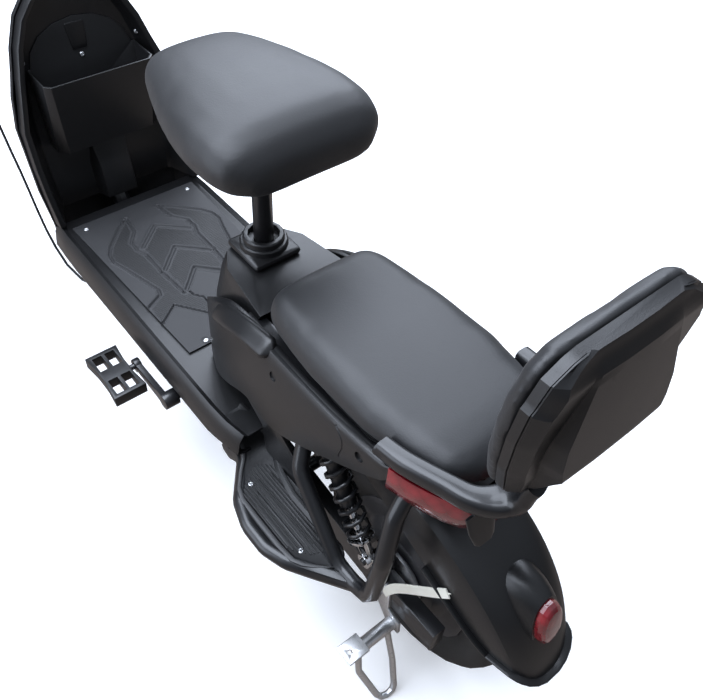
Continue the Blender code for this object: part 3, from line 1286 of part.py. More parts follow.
def make_pedals():
    """Platform pedals with four slots, on the pins of the cranks."""
    made = []
    for side, name in ((1, "pedal_left"), (-1, "pedal_right")):
        mid = CRANK_FORE + side * CRANK_LENGTH
        half = PEDAL_HALF_LENGTH
        low_y, high_y = PEDAL_INNER_Y, PEDAL_OUTER_Y
        waist = 0.004
        outline = [(mid - half, low_y), (mid - 0.018, low_y + waist), (mid + 0.018, low_y + waist),
                   (mid + half, low_y), (mid + half, high_y), (mid + 0.018, high_y - waist),
                   (mid - 0.018, high_y - waist), (mid - half, high_y)]
        outline = [(f, side * y) for f, y in outline]
        body = plate(outline, CRANK_Z - PEDAL_HALF_HEIGHT, CRANK_Z + PEDAL_HALF_HEIGHT, "XY")
        across = ((low_y + 0.009, (low_y + high_y) / 2 - 0.003), ((low_y + high_y) / 2 + 0.003, high_y - 0.009))
        for ends in ((mid - half + 0.008, mid - 0.013), (mid + 0.013, mid + half - 0.008)):
            for y0, y1 in across:
                a, b = sorted((side * y0, side * y1))
                cut(body, box((ends[0], a, CRANK_Z - 0.03), (ends[1], b, CRANK_Z + 0.03)))
        a, b = side * (low_y - 0.01), side * (high_y - 0.005)
        cut(body, rod((mid, a, CRANK_Z), (mid, b, CRANK_Z), PEDAL_PIN_RADIUS + RUNNING, 16))
        made.append(finish(body, name, "body_plastic", 0, (mid, 0, CRANK_Z)))
    return made


# Shock absorbers and stands

SHOCK_LENGTH = math.hypot(SHOCK_TOP_FORE - SHOCK_LOW_FORE, SHOCK_TOP_Z - SHOCK_LOW_Z)
SHOCK_LEAN = math.atan2(SHOCK_TOP_FORE - SHOCK_LOW_FORE, SHOCK_TOP_Z - SHOCK_LOW_Z)
SPRING_LOW = 0.0405
SPRING_HIGH = 0.1850


def stood_in_shock(obj, side):
    """Moves a piece from its own upright axis to the line between the shock's pins."""
    lean = Matrix.Rotation(SHOCK_LEAN, 4, "Y")
    obj.data.transform(Matrix.Translation(at(SHOCK_LOW_FORE, side * SHOCK_Y, SHOCK_LOW_Z)) @ lean)
    return obj


def eye(height, radius, bore):
    """Ring round a cross pin, and the cutter of its bore, in the shock's own axes."""
    half = SHOCK_EYE_WIDTH / 2
    turn = Matrix.Translation((0, 0, height)) @ Matrix.Rotation(math.pi / 2, 4, "X")
    ring = turned([(0.0, -half), (radius, -half), (radius, half), (0.0, half)])
    hole = turned([(0.0, -0.02), (bore, -0.02), (bore, 0.02), (0.0, 0.02)])
    ring.data.transform(turn)
    hole.data.transform(turn)
    return ring, hole


def make_shock_bodies():
    made = []
    for side, name in ((1, "shock_body_left"), (-1, "shock_body_right")):
        seat = SPRING_HIGH + TOUCH
        can = turned([(0.0, 0.095), (0.0125, 0.095), (0.0125, seat), (0.0205, seat), (0.0205, seat + 0.004),
                      (0.0125, seat + 0.012), (0.008, SHOCK_LENGTH - 0.004), (0.0, SHOCK_LENGTH - 0.004)])
        ring, hole = eye(SHOCK_LENGTH, 0.0115, SHOCK_PIN_RADIUS + RUNNING)
        united(can, ring)
        bore = turned([(0.0, 0.080), (0.0065, 0.080), (0.0065, 0.182), (0.0, 0.182)], 14)
        cut(can, hole, bore)
        stood_in_shock(can, side)
        made.append(finish(can, name, "chrome", 35, (SHOCK_TOP_FORE, side * SHOCK_Y, SHOCK_TOP_Z)))
    return made


def make_shock_rods():
    made = []
    for side, name in ((1, "shock_rod_left"), (-1, "shock_rod_right")):
        seat = SPRING_LOW - TOUCH
        stem = turned([(0.0, 0.004), (0.008, 0.004), (0.0110, seat - 0.012), (0.0205, seat - 0.004),
                       (0.0205, seat), (0.0060, seat), (0.0060, 0.148), (0.0, 0.148)])
        ring, hole = eye(0.0, 0.0120, SHOCK_PIN_RADIUS + PIVOT_PLAY)
        united(stem, ring)
        cut(stem, hole)
        stood_in_shock(stem, side)
        made.append(finish(stem, name, "chrome", 35, (SHOCK_LOW_FORE, side * SHOCK_Y, SHOCK_LOW_Z)))
    return made


def spring_path():
    """Helix between the spring seats, with a flat dead turn and a straight stub at each end."""
    wire = SPRING_WIRE_RADIUS
    low = SPRING_LOW + wire
    high = SPRING_HIGH - wire
    dead = 0.5
    total = SPRING_TURNS + 2 * dead
    per_turn = 8
    points = []
    count = round(total * per_turn)
    for i in range(count + 1):
        turn = total * i / count
        share = min(1.0, max(0.0, (turn - dead) / SPRING_TURNS))
        settle = 0.0
        if turn < dead:
            settle = 2.3 * wire * (turn / dead - 1.0)
        if turn > total - dead:
            settle = 2.3 * wire * (turn - total + dead) / dead
        rise = low + 2.3 * wire + (high - low - 4.6 * wire) * share + settle
        angle = 2 * math.pi * turn
        points.append(Vector((SPRING_MEAN_RADIUS * math.cos(angle), SPRING_MEAN_RADIUS * math.sin(angle), rise)))
    first = (points[0] - points[1]).normalized()
    last = (points[-1] - points[-2]).normalized()
    first.z = 0.0
    last.z = 0.0
    return [points[0] + first * 2 * wire] + points + [points[-1] + last * 2 * wire]


def least_gap(path, radius, near):
    """Smallest clear distance between stretches of a tube that lie apart along it."""
    least = 1.0
    for i, a in enumerate(path):
        for b in path[i + near:]:
            least = min(least, (a - b).length - 2 * radius)
    return least


def make_springs():
    path = spring_path()
    print("spring, least gap to itself in mm:", round(least_gap(path, SPRING_WIRE_RADIUS, 6) * 1000, 2))
    made = []
    for side, name in ((1, "shock_spring_left"), (-1, "shock_spring_right")):
        spring = tube(path, SPRING_WIRE_RADIUS, 6, world=True)
        stood_in_shock(spring, side)
        made.append(finish(spring, name, "gloss_black", 60, (SHOCK_TOP_FORE, side * SHOCK_Y, SHOCK_TOP_Z)))
    return made


def make_stands():
    """Stand legs: a sleeve on the pivot pin, a foot tab and a bent rod down to the ground."""
    made = []
    for side, name in ((1, "stand_left"), (-1, "stand_right")):
        f, z = STAND_PIVOT_FORE, STAND_PIVOT_Z
        start = ARM_OUTER_Y + 0.0056 + TOUCH
        sleeve = rod((f, side * start, z), (f, side * 0.1535, z), STAND_SLEEVE_RADIUS)
        ground = STAND_ROD_RADIUS - 0.0006
        path = [(f - 0.004, 0.093, z - 0.006), (f - 0.030, 0.098, z - 0.062), (f - 0.053, 0.106, ground),
                (f - 0.050, 0.134, ground), (f - 0.010, 0.150, z - 0.068), (f, 0.147, z - 0.006)]
        foot = tube(rounded_path([(p, side * w, h) for p, w, h in path], 0.016, 2), STAND_ROD_RADIUS, 8)
        a, b = sorted((side * 0.138, side * 0.176))
        tab = box((f - 0.016, a, z + 0.0078), (f + 0.018, b, z + 0.0115), 0.0012)
        united(sleeve, foot, tab)
        cut(sleeve, rod((f, side * 0.05, z), (f, side * 0.1545, z), STAND_PIN_RADIUS + RUNNING, 12),
            rod((f, side * 0.164, z - 0.02), (f, side * 0.164, z + 0.03), 0.0045, 8),
            box((f - 0.10, -0.20, -0.02), (f + 0.05, 0.20, 0.0)))
        made.append(finish(sleeve, name, "zinc", 35, (f, 0, z)))
    return made


# Steering and front wheel

STEER_UP = Vector((-math.sin(RAKE), 0.0, math.cos(RAKE)))
STEER_AXIS = (steer_fore(HEAD_TUBE_LOW_Z), 0, HEAD_TUBE_LOW_Z)


def up_steer(distance, y=0.0, ahead=0.0):
    """Point that far up the steering line from the head tube's lower end, and ahead of it."""
    return (steer_fore(HEAD_TUBE_LOW_Z) + STEER_UP.x * distance + ahead * STEER_UP.z, y,
            HEAD_TUBE_LOW_Z + STEER_UP.z * distance - ahead * STEER_UP.x)


def make_fork_crown():
    """Steering tube with the fork crown and the two stanchions."""
    head_length = (HEAD_TUBE_HIGH_Z - HEAD_TUBE_LOW_Z) / STEER_UP.z
    bar_height = (HANDLEBAR_Z - HEAD_TUBE_LOW_Z) / STEER_UP.z
    column = rod(up_steer(-0.020), up_steer(bar_height - 0.020), STEERER_RADIUS)
    nut = rod(up_steer(head_length + TOUCH), up_steer(head_length + 0.009), 0.0225, 6)
    spread = FORK_HALF_SPREAD
    outline = [(-0.019, -spread * 0.4), (-0.012, -spread - 0.019), (0.014, -spread - 0.019), (0.021, -spread * 0.4),
               (0.021, spread * 0.4), (0.014, spread + 0.019), (-0.012, spread + 0.019), (-0.019, spread * 0.4)]
    bm = bmesh.new()
    rows = [[bm.verts.new(at(*up_steer(height, y, ahead))) for ahead, y in outline]
            for height in (-0.028, -TOUCH)]
    bm.faces.new(rows[0])
    bm.faces.new(rows[1])
    for i in range(len(outline)):
        j = (i + 1) % len(outline)
        bm.faces.new((rows[0][i], rows[0][j], rows[1][j], rows[1][i]))
    united(column, from_bmesh(bm), nut)
    for side in (-1, 1):
        y = side * spread
        low = -(HEAD_TUBE_LOW_Z - 0.275) / STEER_UP.z
        united(column, rod(up_steer(low, y), up_steer(-0.010, y), STANCHION_RADIUS))
    return finish(column, "fork_crown", "black_paint", 35, STEER_AXIS)


def make_fork_lowers():
    """Fork sliders joined by the front axle."""
    lowers = rod((WHEELBASE, -0.080, TYRE_RADIUS), (WHEELBASE, 0.080, TYRE_RADIUS), FRONT_AXLE_RADIUS, 14)
    for side in (-1, 1):
        y = side * FORK_HALF_SPREAD
        low = -(HEAD_TUBE_LOW_Z - TYRE_RADIUS) / STEER_UP.z - 0.020
        high = -(HEAD_TUBE_LOW_Z - 0.395) / STEER_UP.z
        slider = rod(up_steer(low, y), up_steer(high, y), SLIDER_RADIUS, chamfer=0.002)
        bore = rod(up_steer(low + 0.050, y), up_steer(high + 0.02, y), STANCHION_RADIUS + RUNNING)
        united(lowers, cut(slider, bore))
    return finish(lowers, "fork_lowers", "black_paint", 35, (WHEELBASE, 0, TYRE_RADIUS))


def make_front_fender():
    half = FORK_HALF_SPREAD - SLIDER_RADIUS - 2 * TOUCH
    sections = []
    for i in range(11):
        angle = math.radians(22.0 + (168.0 - 22.0) * i / 10)
        row = []
        for w, r in ((half, 0.190), (half - 0.0006, 0.203), (0.72 * half, 0.211), (0.28 * half, 0.2135)):
            row.append((WHEELBASE + r * math.cos(angle), w, TYRE_RADIUS + r * math.sin(angle)))
        row += [(f, -w, z) for f, w, z in reversed(row)]
        sections.append(row)
    fender = shell(sections, 0.0022)
    return finish(fender, "front_fender", "body_plastic", 30, (WHEELBASE, 0, TYRE_RADIUS))


def make_front_wheel():
    """Cast front wheel: rim, hub and five spokes."""
    seat = RIM_SEAT_RADIUS - TOUCH - 0.0002
    lip = RIM_WIDTH / 2
    rim = turned_across(rim_profile(seat) + [(seat - 0.012, lip - 0.002), (seat - 0.012, -lip + 0.002)],
                        FRONT_AXLE, start=0.0)
    bore = FRONT_AXLE_RADIUS + RUNNING
    hub = turned_across([(bore, -0.0385), (0.022, -0.0385), (0.026, -0.030), (0.026, 0.012), (0.048, 0.016),
                         (0.048, 0.034), (0.022, 0.0385), (bore, 0.0385)], FRONT_AXLE, 16)
    for k in range(5):
        spoke = link(bpy.data.meshes.new("spoke"))
        bm = bmesh.new()
        bmesh.ops.create_cube(bm, size=1.0)
        bmesh.ops.scale(bm, vec=(0.018, 0.026, seat - 0.012 - 0.018), verts=bm.verts)
        bmesh.ops.translate(bm, vec=(0, 0, (seat - 0.010 + 0.020) / 2), verts=bm.verts)
        bm.to_mesh(spoke.data)
        bm.free()
        turn = Matrix.Rotation(2 * math.pi * k / 5, 4, "Y")
        spoke.data.transform(Matrix.Translation(at(WHEELBASE, 0, TYRE_RADIUS)) @ turn)
        united(hub, spoke)
    united(rim, hub)
    cut(rim, rod((WHEELBASE, -0.06, TYRE_RADIUS), (WHEELBASE, 0.06, TYRE_RADIUS), bore + 0.0001, 16))
    return finish(rim, "front_wheel", "cast_alloy", 35, (WHEELBASE, 0, TYRE_RADIUS))


BAR_MID = (steer_fore(HANDLEBAR_Z), 0.0, HANDLEBAR_Z)
BAR_BEND = (BAR_MID[0] - 0.012, 0.150, HANDLEBAR_Z + 0.014)
BAR_END = (BAR_MID[0] - 0.050, HANDLEBAR_REACH, HANDLEBAR_Z + 0.014)
GRIP_LENGTH = 0.112
GRIP_RADIUS = 0.0165
LEVER_PIVOT_Y = 0.166
LEVER_AHEAD = 0.030


def along_bar(distance, side=1):
    """Point on the straight grip end of the bar, measured inward from its tip."""
    tip = Vector(BAR_END)
    inward = (Vector(BAR_BEND) - tip).normalized()
    point = tip + inward * distance
    return (point.x, side * point.y, point.z)


def lever_pivot(side):
    y = LEVER_PIVOT_Y
    share = (y - BAR_BEND[1]) / (BAR_END[1] - BAR_BEND[1])
    bar_fore = BAR_BEND[0] + (BAR_END[0] - BAR_BEND[0]) * share
    return (bar_fore + LEVER_AHEAD, side * y, BAR_END[2])


def make_handlebar():
    """Bar with its clamp, both lever perches and the switch pod."""
    half = [(BAR_MID[0], 0.0, BAR_MID[2]), (BAR_MID[0], 0.060, BAR_MID[2]), BAR_BEND, along_bar(0.001)]
    path = [(f, -w, z) for f, w, z in reversed(half[1:])] + half
    bar = tube(rounded_path(path, 0.05, 2), HANDLEBAR_RADIUS, 8)
    bar_height = (HANDLEBAR_Z - HEAD_TUBE_LOW_Z) / STEER_UP.z
    clamp = rod(up_steer(bar_height - 0.0197), up_steer(bar_height + 0.018), 0.0215, chamfer=0.003)
    united(bar, clamp)
    for side in (-1, 1):
        f, y, z = lever_pivot(side)
        a, b = sorted((side * (LEVER_PIVOT_Y - 0.014), side * (LEVER_PIVOT_Y + 0.010)))
        collar = rod(along_bar(0.150, side), along_bar(0.128, side), 0.0165, 12)
        ear = box((f - LEVER_AHEAD, a, z - 0.011), (f + 0.008, b, z - 0.0045), 0.0)
        pin = rod((f, y, z - 0.008), (f, y, z + 0.009), 0.0035, 8)
        united(bar, collar, ear, pin)
    pod_f, pod_y, pod_z = along_bar(0.1185)
    pod = box((pod_f - 0.022, pod_y - 0.0045, pod_z - 0.014), (pod_f + 0.014, pod_y + 0.0015, pod_z + 0.014), 0.0015)
    united(bar, pod)
    button_f, button_y, button_z = button_place()
    cut(bar, rod((button_f - 0.001, button_y, button_z), (button_f + 0.0052, button_y, button_z), 0.0032, 12))
    return finish(bar, "handlebar", "black_paint", 35, STEER_AXIS)


def button_place():
    """Rear face of the switch pod, where the horn button comes out."""
    pod_f, pod_y, pod_z = along_bar(0.1185)
    return (pod_f - 0.022, pod_y - 0.0007, pod_z)


def make_horn_button():
    f, y, z = button_place()
    button = rod((f - 0.0022, y, z), (f + 0.0022, y, z), 0.0028, 12)
    return finish(button, "horn_button", "red_plastic", 35, (f, y, z))


def make_grips():
    made = []
    for side, name in ((1, "grip_left"), (-1, "throttle_grip")):
        grip = rod(along_bar(GRIP_LENGTH, side), along_bar(-0.004, side), GRIP_RADIUS, chamfer=0.002)
        cut(grip, rod(along_bar(GRIP_LENGTH + 0.01, side), along_bar(0.0006, side), HANDLEBAR_RADIUS + RUNNING))
        made.append(finish(grip, name, "rubber", 35, along_bar(0.0, side)))
    return made


def make_brake_levers():
    made = []
    for side, name in ((1, "brake_lever_left"), (-1, "brake_lever_right")):
        f, y, z = lever_pivot(side)
        bar_turn = (BAR_END[0] - BAR_BEND[0]) / (BAR_END[1] - BAR_BEND[1])
        outline = []
        for along, ahead in ((-0.008, -0.006), (0.012, -0.0065), (0.030, 0.010), (0.095, 0.016), (0.118, 0.026),
                             (0.120, 0.032), (0.092, 0.0245), (0.026, 0.0195), (-0.002, 0.009), (-0.009, 0.004)):
            outline.append((f + along * bar_turn + ahead, side * (LEVER_PIVOT_Y + along)))
        blade = plate(outline, z - 0.0040, z + 0.0040, "XY", 0.0008)
        cut(blade, rod((f, y, z - 0.02), (f, y, z + 0.02), 0.0035 + RUNNING, 12))
        made.append(finish(blade, name, "cast_alloy", 35, (f, y, z)))
    return made


def make_headlight():
    """Round headlamp on a ring clamped to the steering tube."""
    height = (0.880 - HEAD_TUBE_LOW_Z) / STEER_UP.z
    ring = rod(up_steer(height - 0.010), up_steer(height + 0.010), 0.0205, 16, bore=STEERER_RADIUS + 2 * TOUCH)
    middle = up_steer(height)
    bowl = turned([(0.0, 0.0), (0.030, 0.0), (0.046, 0.018), (0.050, 0.042), (0.050, 0.050), (0.044, 0.055),
                   (0.0, 0.060)], 20)
    bowl.data.transform(Matrix.Translation(at(middle[0] + 0.030, 0, middle[2] + 0.004)) @ frame_along((1, 0, -0.06)))
    arm = rod(up_steer(height, 0.0, 0.0186), up_steer(height, 0.0, 0.040), 0.009, 10)
    united(ring, arm, bowl)
    return finish(ring, "headlight", "gloss_black", 35, STEER_AXIS)


def make_brake_cable():
    """Rear brake cable: from the left lever, round the shield's side, under the floor to the brake arm."""
    f, y, z = lever_pivot(1)
    route = [
        (f + 0.0045, y - 0.0125, z + 0.0035), (f + 0.030, 0.146, 0.990), (1.010, 0.140, 0.930),
        (1.046, 0.148, 0.820), (1.040, 0.163, 0.700), (1.016, 0.170, 0.600), (0.992, 0.168, 0.500),
        (0.966, 0.162, 0.400), (0.938, 0.158, 0.300), (0.912, 0.150, 0.235), (0.885, 0.139, 0.199),
        (0.850, 0.126, 0.196), (0.800, 0.119, 0.206), (0.650, 0.119, 0.210), (0.450, 0.119, 0.210),
        (0.330, 0.119, 0.203),
        (0.250, 0.105, 0.165), (0.180, 0.075, 0.142), (0.120, 0.052, 0.136), (0.0695, 0.046, 0.1515),
    ]
    path = [at(*p) for p in route]
    cable = tube(smooth_path(path, 0.042), 0.0025, 8, world=True)
    return finish(cable, "brake_cable", "rubber", 60)


def main():
    clear_scene()
    make_front_frame()
    make_floor_frame()
    make_rear_frame()
    make_guard_loops()
    make_battery()
    make_controller()
    make_floor_pan()
    make_floor_mat()
    make_leg_shield()
    make_front_shield()
    make_storage_pocket()
    make_tower_cover()
    make_collar()
    make_side_covers()
    make_footrests()
    make_bench_cushion()
    make_bench_pan()
    make_tail_lens()
    make_grab_rail()
    make_backrest_pad()
    make_backrest_shell()
    make_saddle()
    make_seat_post()
    make_swing_arm()
    make_rear_axle()
    make_rear_fender()
    make_fender_lamp()
    make_fender_stays()
    make_tyre("rear_tyre", AXLE)
    make_tyre("front_tyre", FRONT_AXLE)
    make_hub_motor()
    make_chain()
    make_crankset()
    make_pedals()
    make_shock_bodies()
    make_shock_rods()
    make_springs()
    make_stands()
    make_fork_crown()
    make_fork_lowers()
    make_front_fender()
    make_front_wheel()
    make_handlebar()
    make_horn_button()
    make_grips()
    make_brake_levers()
    make_headlight()
    make_brake_cable()


main()
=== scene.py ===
"""Surfaces, upholstery and studio for the two-seat electric moped."""

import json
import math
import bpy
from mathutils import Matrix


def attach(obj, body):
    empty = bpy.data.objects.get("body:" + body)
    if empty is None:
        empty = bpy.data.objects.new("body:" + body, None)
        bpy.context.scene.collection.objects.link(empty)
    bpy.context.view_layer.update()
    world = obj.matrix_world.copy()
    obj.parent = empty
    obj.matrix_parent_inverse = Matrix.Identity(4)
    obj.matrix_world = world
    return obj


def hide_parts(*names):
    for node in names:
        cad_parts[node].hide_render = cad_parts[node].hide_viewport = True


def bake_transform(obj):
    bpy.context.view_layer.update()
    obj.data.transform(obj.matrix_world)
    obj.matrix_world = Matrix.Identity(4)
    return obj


bl_info = {
    "name": "Two-seat electric moped",
    "version": (1, 0, 0),
    "blender": (4, 5, 0),
    "location": "View3D > Sidebar > Moped",
    "description": "Dresses the moped's solids with finishes, padded seats and trim",
    "category": "Object",
}

import bmesh
import bpy
from bpy.types import Operator, Panel, PropertyGroup
from mathutils import Matrix, Vector

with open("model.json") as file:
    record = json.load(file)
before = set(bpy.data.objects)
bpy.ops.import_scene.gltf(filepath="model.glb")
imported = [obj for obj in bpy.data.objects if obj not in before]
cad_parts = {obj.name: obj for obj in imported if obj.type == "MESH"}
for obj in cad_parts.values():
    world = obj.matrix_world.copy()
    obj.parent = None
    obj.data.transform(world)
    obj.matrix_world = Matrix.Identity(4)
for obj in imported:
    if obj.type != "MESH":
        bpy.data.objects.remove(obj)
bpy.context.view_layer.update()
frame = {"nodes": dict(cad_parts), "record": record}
SLOTS = {part["node"]: part["material_slot"] for part in frame["record"]["subparts"]}
BODIES = {node: body for body, nodes in frame["record"]["behaviour"]["bodies"].items() for node in nodes}

AXLE_X = -0.5517          # rear axle, from which the body's distances forward are counted
AXLE_Z = 0.190


def ahead(distance, y, z):
    """Point that far ahead of the rear axle."""
    return Vector((distance + AXLE_X, y, z))


# Sizes and colours

def colour(label, description, default):
    return bpy.props.FloatVectorProperty(name=label, description=description, default=default,
                                         subtype="COLOR", size=3, min=0.0, max=1.0)


def length(label, description, default, low, high):
    return bpy.props.FloatProperty(name=label, description=description, default=default, unit="LENGTH",
                                   min=low, max=high, precision=4)


def angle(label, description, default):
    return bpy.props.FloatProperty(name=label, description=description, default=default, subtype="ANGLE")


class MopedColours(PropertyGroup):
    plastic: colour("Body plastic", "Matt black of the covers and the floor", (0.0085, 0.0085, 0.0090))
    skin: colour("Seat skin", "Soft black skin of the saddle and the bench", (0.0125, 0.0128, 0.0138))
    gloss: colour("Gloss paint", "Gloss black of the guard tubes, rail and shocks", (0.0060, 0.0062, 0.0070))
    paint: colour("Frame paint", "Semi-gloss black of the frame and fork", (0.0105, 0.0105, 0.0115))
    alloy: colour("Black alloy", "Black castings of the wheels and levers", (0.0300, 0.0300, 0.0320))
    rubber: colour("Rubber", "Mat, grips and boot", (0.0145, 0.0145, 0.0155))
    tyre: colour("Tyre", "Tyre rubber", (0.0130, 0.0128, 0.0125))
    lens: colour("Red lens", "Dark red of the tail lens and the fender lamp", (0.200, 0.010, 0.016))
    zinc: colour("Zinc", "Bright zinc plate of the stands, axle and chain", (0.78, 0.79, 0.80))
    chrome: colour("Chrome", "Polished shock absorber rods", (0.70, 0.70, 0.71))
    cream: colour("Cream paint", "Fender stays and their strips", (0.74, 0.71, 0.60))


class MopedUpholstery(PropertyGroup):
    voxel: length("Remesh step", "Voxel size for the saddle and the bench", 0.005, 0.002, 0.02)
    fine_voxel: length("Fine remesh step", "Voxel size for the backrest pad", 0.004, 0.002, 0.02)
    swell: length("Swell", "How far a point of a padded piece may move", 0.0020, 0.0, 0.03)
    pressure: bpy.props.FloatProperty(name="Pressure", description="Cloth pressure in the padding",
                                      default=4.0, min=0.0, max=20.0)


class MopedStudio(PropertyGroup):
    floor: colour("Floor", "Pale studio floor", (0.93, 0.93, 0.93))
    bounce: colour("Floor bounce", "What the moped picks up from the floor", (0.24, 0.20, 0.17))
    sky: colour("Sky", "Cool light from above", (0.80, 0.87, 1.0))
    camera_place: bpy.props.FloatVectorProperty(name="Camera place", description="Where the camera stands",
                                                default=(-0.8998, 0.4830, 1.3099), size=3,
                                                subtype="TRANSLATION")
    camera_yaw: angle("Yaw", "Camera direction about the vertical", -0.7333)
    camera_pitch: angle("Pitch", "Camera angle below level", 0.8385)
    camera_roll: angle("Roll", "Camera turn about its own line of sight", 0.0733)
    lens: bpy.props.FloatProperty(name="Lens", description="Focal length on a 36 mm sensor", default=39.93,
                                  min=10.0, max=300.0)


# Finishes

class Wire:
    """One socket of a node tree, on which sums add their Math nodes."""

    def __init__(self, nodes, socket):
        self.nodes = nodes
        self.socket = socket

    def maths(self, operation, first, second):
        return self.nodes.node("Math", {"operation": operation}, {0: first, 1: second})

    def __add__(self, other):
        return self.maths("ADD", self, other)

    __radd__ = __add__

    def __sub__(self, other):
        return self.maths("SUBTRACT", self, other)

    def __rsub__(self, other):
        return self.maths("SUBTRACT", other, self)

    def __mul__(self, other):
        return self.maths("MULTIPLY", self, other)

    __rmul__ = __mul__


class Nodes:
    """Node tree whose nodes get their settings first, then their values and links."""

    def __init__(self, tree):
        self.tree = tree

    def node(self, kind, settings=None, values=None, output=0):
        made = self.tree.nodes.new("ShaderNode" + kind)
        for label, value in (settings or {}).items():
            if label == "stops":
                self.set_stops(made.color_ramp, value)
            else:
                setattr(made, label, value)
        for label, value in (values or {}).items():
            self.feed(made.inputs[label], value)
        return Wire(self, made.outputs[output])

    def set_stops(self, ramp, stops):
        while len(ramp.elements) < len(stops):
            ramp.elements.new(0.5)
        for element, (position, level) in zip(ramp.elements, stops):
            element.position = position
            element.color = (level, level, level, 1.0)

    def feed(self, socket, value):
        if isinstance(value, Wire):
            self.tree.links.new(value.socket, socket)
        elif hasattr(value, "__len__") and socket.type == "RGBA":
            socket.default_value = (*value[:3], 1.0)
        else:
            socket.default_value = value

    def mixed(self, share, first, second):
        return self.node("Mix", {"data_type": "RGBA"}, {0: share, 6: first, 7: second}, 2)


class Finish(Nodes):
    """Procedural finish built on one Principled shader."""

    def __init__(self, name, **constants):
        self.material = bpy.data.materials.new(name)
        self.material.use_nodes = True
        super().__init__(self.material.node_tree)
        self.tree.nodes.clear()
        self.shader = self.tree.nodes.new("ShaderNodeBsdfPrincipled")
        output = self.tree.nodes.new("ShaderNodeOutputMaterial")
        self.tree.links.new(self.shader.outputs[0], output.inputs["Surface"])
        self.place = self.node("TexCoord", output="Object")
        self.wear(**constants)

    def wear(self, **values):
        """The material, once these sockets of its shader are set or linked."""
        for label, value in values.items():
            self.feed(self.shader.inputs[label.replace("_", " ")], value)
        return self.material

    def speckle(self, scale, detail=2.0, roughness=0.5):
        return self.node("TexNoise", None, {"Vector": self.place, "Scale": scale, "Detail": detail,
                                            "Roughness": roughness})

    def cells(self, scale, feature="F1"):
        return self.node("TexVoronoi", {"feature": feature}, {"Vector": self.place, "Scale": scale})

    def ramp(self, value, *stops):
        return self.node("ValToRGB", {"stops": stops}, {"Fac": value})

    def tinted(self, share, tint, dark, pale):
        """Colour between two shades of a tint."""
        return self.mixed(share, shade(tint, dark), shade(tint, pale))

    def relief(self, height, depth, strength, over=None):
        values = {"Strength": strength, "Distance": depth, "Height": height}
        if over:
            values["Normal"] = over
        return self.node("Bump", None, values)


def shade(tint, factor):
    return tuple(min(1.0, channel * factor) for channel in tint)


def moulded(name, tint, roughness=0.35, grain=900.0):
    """Moulded plastic with a fine spark-eroded grain and faint handling marks."""
    made = Finish(name)
    fine = made.cells(grain)
    broad = made.speckle(7.0, 4.0)
    marks = made.ramp(made.speckle(60.0, 6.0, 0.7), (0.60, 0.0), (0.78, 1.0))
    return made.wear(Base_Color=made.tinted(broad, tint, 0.8, 1.35),
                     Roughness=broad * 0.14 + marks * 0.10 + (roughness - 0.07),
                     Normal=made.relief(fine, 0.00012, 0.35))


def seat_skin(name, tint):
    """Smooth foam skin with a fine pebbled grain."""
    made = Finish(name, Sheen_Weight=0.05, Sheen_Roughness=0.5)
    pebble = made.cells(620.0, "SMOOTH_F1")
    crease = made.speckle(26.0, 5.0, 0.62)
    broad = made.speckle(5.0, 3.0)
    grain = made.relief(pebble, 0.00030, 0.30)
    return made.wear(Base_Color=made.tinted(broad, tint, 0.85, 1.25),
                     Roughness=broad * 0.12 + pebble * 0.06 + 0.40,
                     Normal=made.relief(crease, 0.0009, 0.22, grain))


def painted(name, tint, roughness, coat, peel=0.00005):
    """Sprayed paint with a slight orange peel, dulled a little where it is handled."""
    made = Finish(name, Coat_Weight=coat, Coat_Roughness=0.06)
    peel_wave = made.speckle(420.0)
    dust = made.speckle(24.0, 6.0, 0.7)
    return made.wear(Base_Color=made.tinted(dust, tint, 1.0, 1.5),
                     Roughness=dust * 0.14 + roughness,
                     Normal=made.relief(peel_wave, peel, 0.25))


def metal(name, tint, roughness, brushed, spots=0.5):
    """Plated or polished metal with cloudy plating and small dull spots."""
    made = Finish(name)
    cloud = made.speckle(70.0, 5.0, 0.65)
    dull = made.ramp(made.speckle(260.0, 3.0), (0.55, 0.0), (0.70, 1.0))
    return made.wear(Base_Color=made.tinted(dull * spots, tint, 1.0, 0.55),
                     Metallic=1.0 - dull * 0.25,
                     Roughness=cloud * brushed + dull * 0.15 + roughness,
                     Normal=made.relief(cloud, 0.00006, 0.3))


def rubbery(name, tint, roughness=0.62, grain=700.0):
    """Dull rubber with a fine grain and a pale bloom."""
    made = Finish(name)
    bloom = made.speckle(18.0, 6.0, 0.7)
    fine = made.speckle(grain)
    return made.wear(Base_Color=made.tinted(bloom, tint, 0.8, 1.6),
                     Roughness=bloom * 0.16 + (roughness - 0.08),
                     Normal=made.relief(fine, 0.0002, 0.35))


def ribbed_rubber(name, tint, pitch=0.0042, height=0.0007):
    """Mat rubber with fine ribs across the floor, its colour painted darker between the ribs as painted
    shade.
    """
    made = Finish(name)
    bloom = made.speckle(16.0, 6.0, 0.7)
    fine = made.speckle(800.0)
    forward = made.node("SeparateXYZ", None, {"Vector": made.place}, "X")
    wave = made.node("Math", {"operation": "SINE"}, {0: forward * (2 * math.pi / pitch)})
    ribs_and_painted_shade = made.ramp(wave * 0.5 + 0.5, (0.30, 0.0), (0.62, 1.0))
    # painted shade: the base colour follows the rib wave and is darkest between the ribs
    return made.wear(Base_Color=made.tinted(ribs_and_painted_shade, tint, 0.25, 0.75),
                     Roughness=bloom * 0.16 + 0.50,
                     Normal=made.relief(ribs_and_painted_shade, height, 0.8, made.relief(fine, 0.0001, 0.3)))


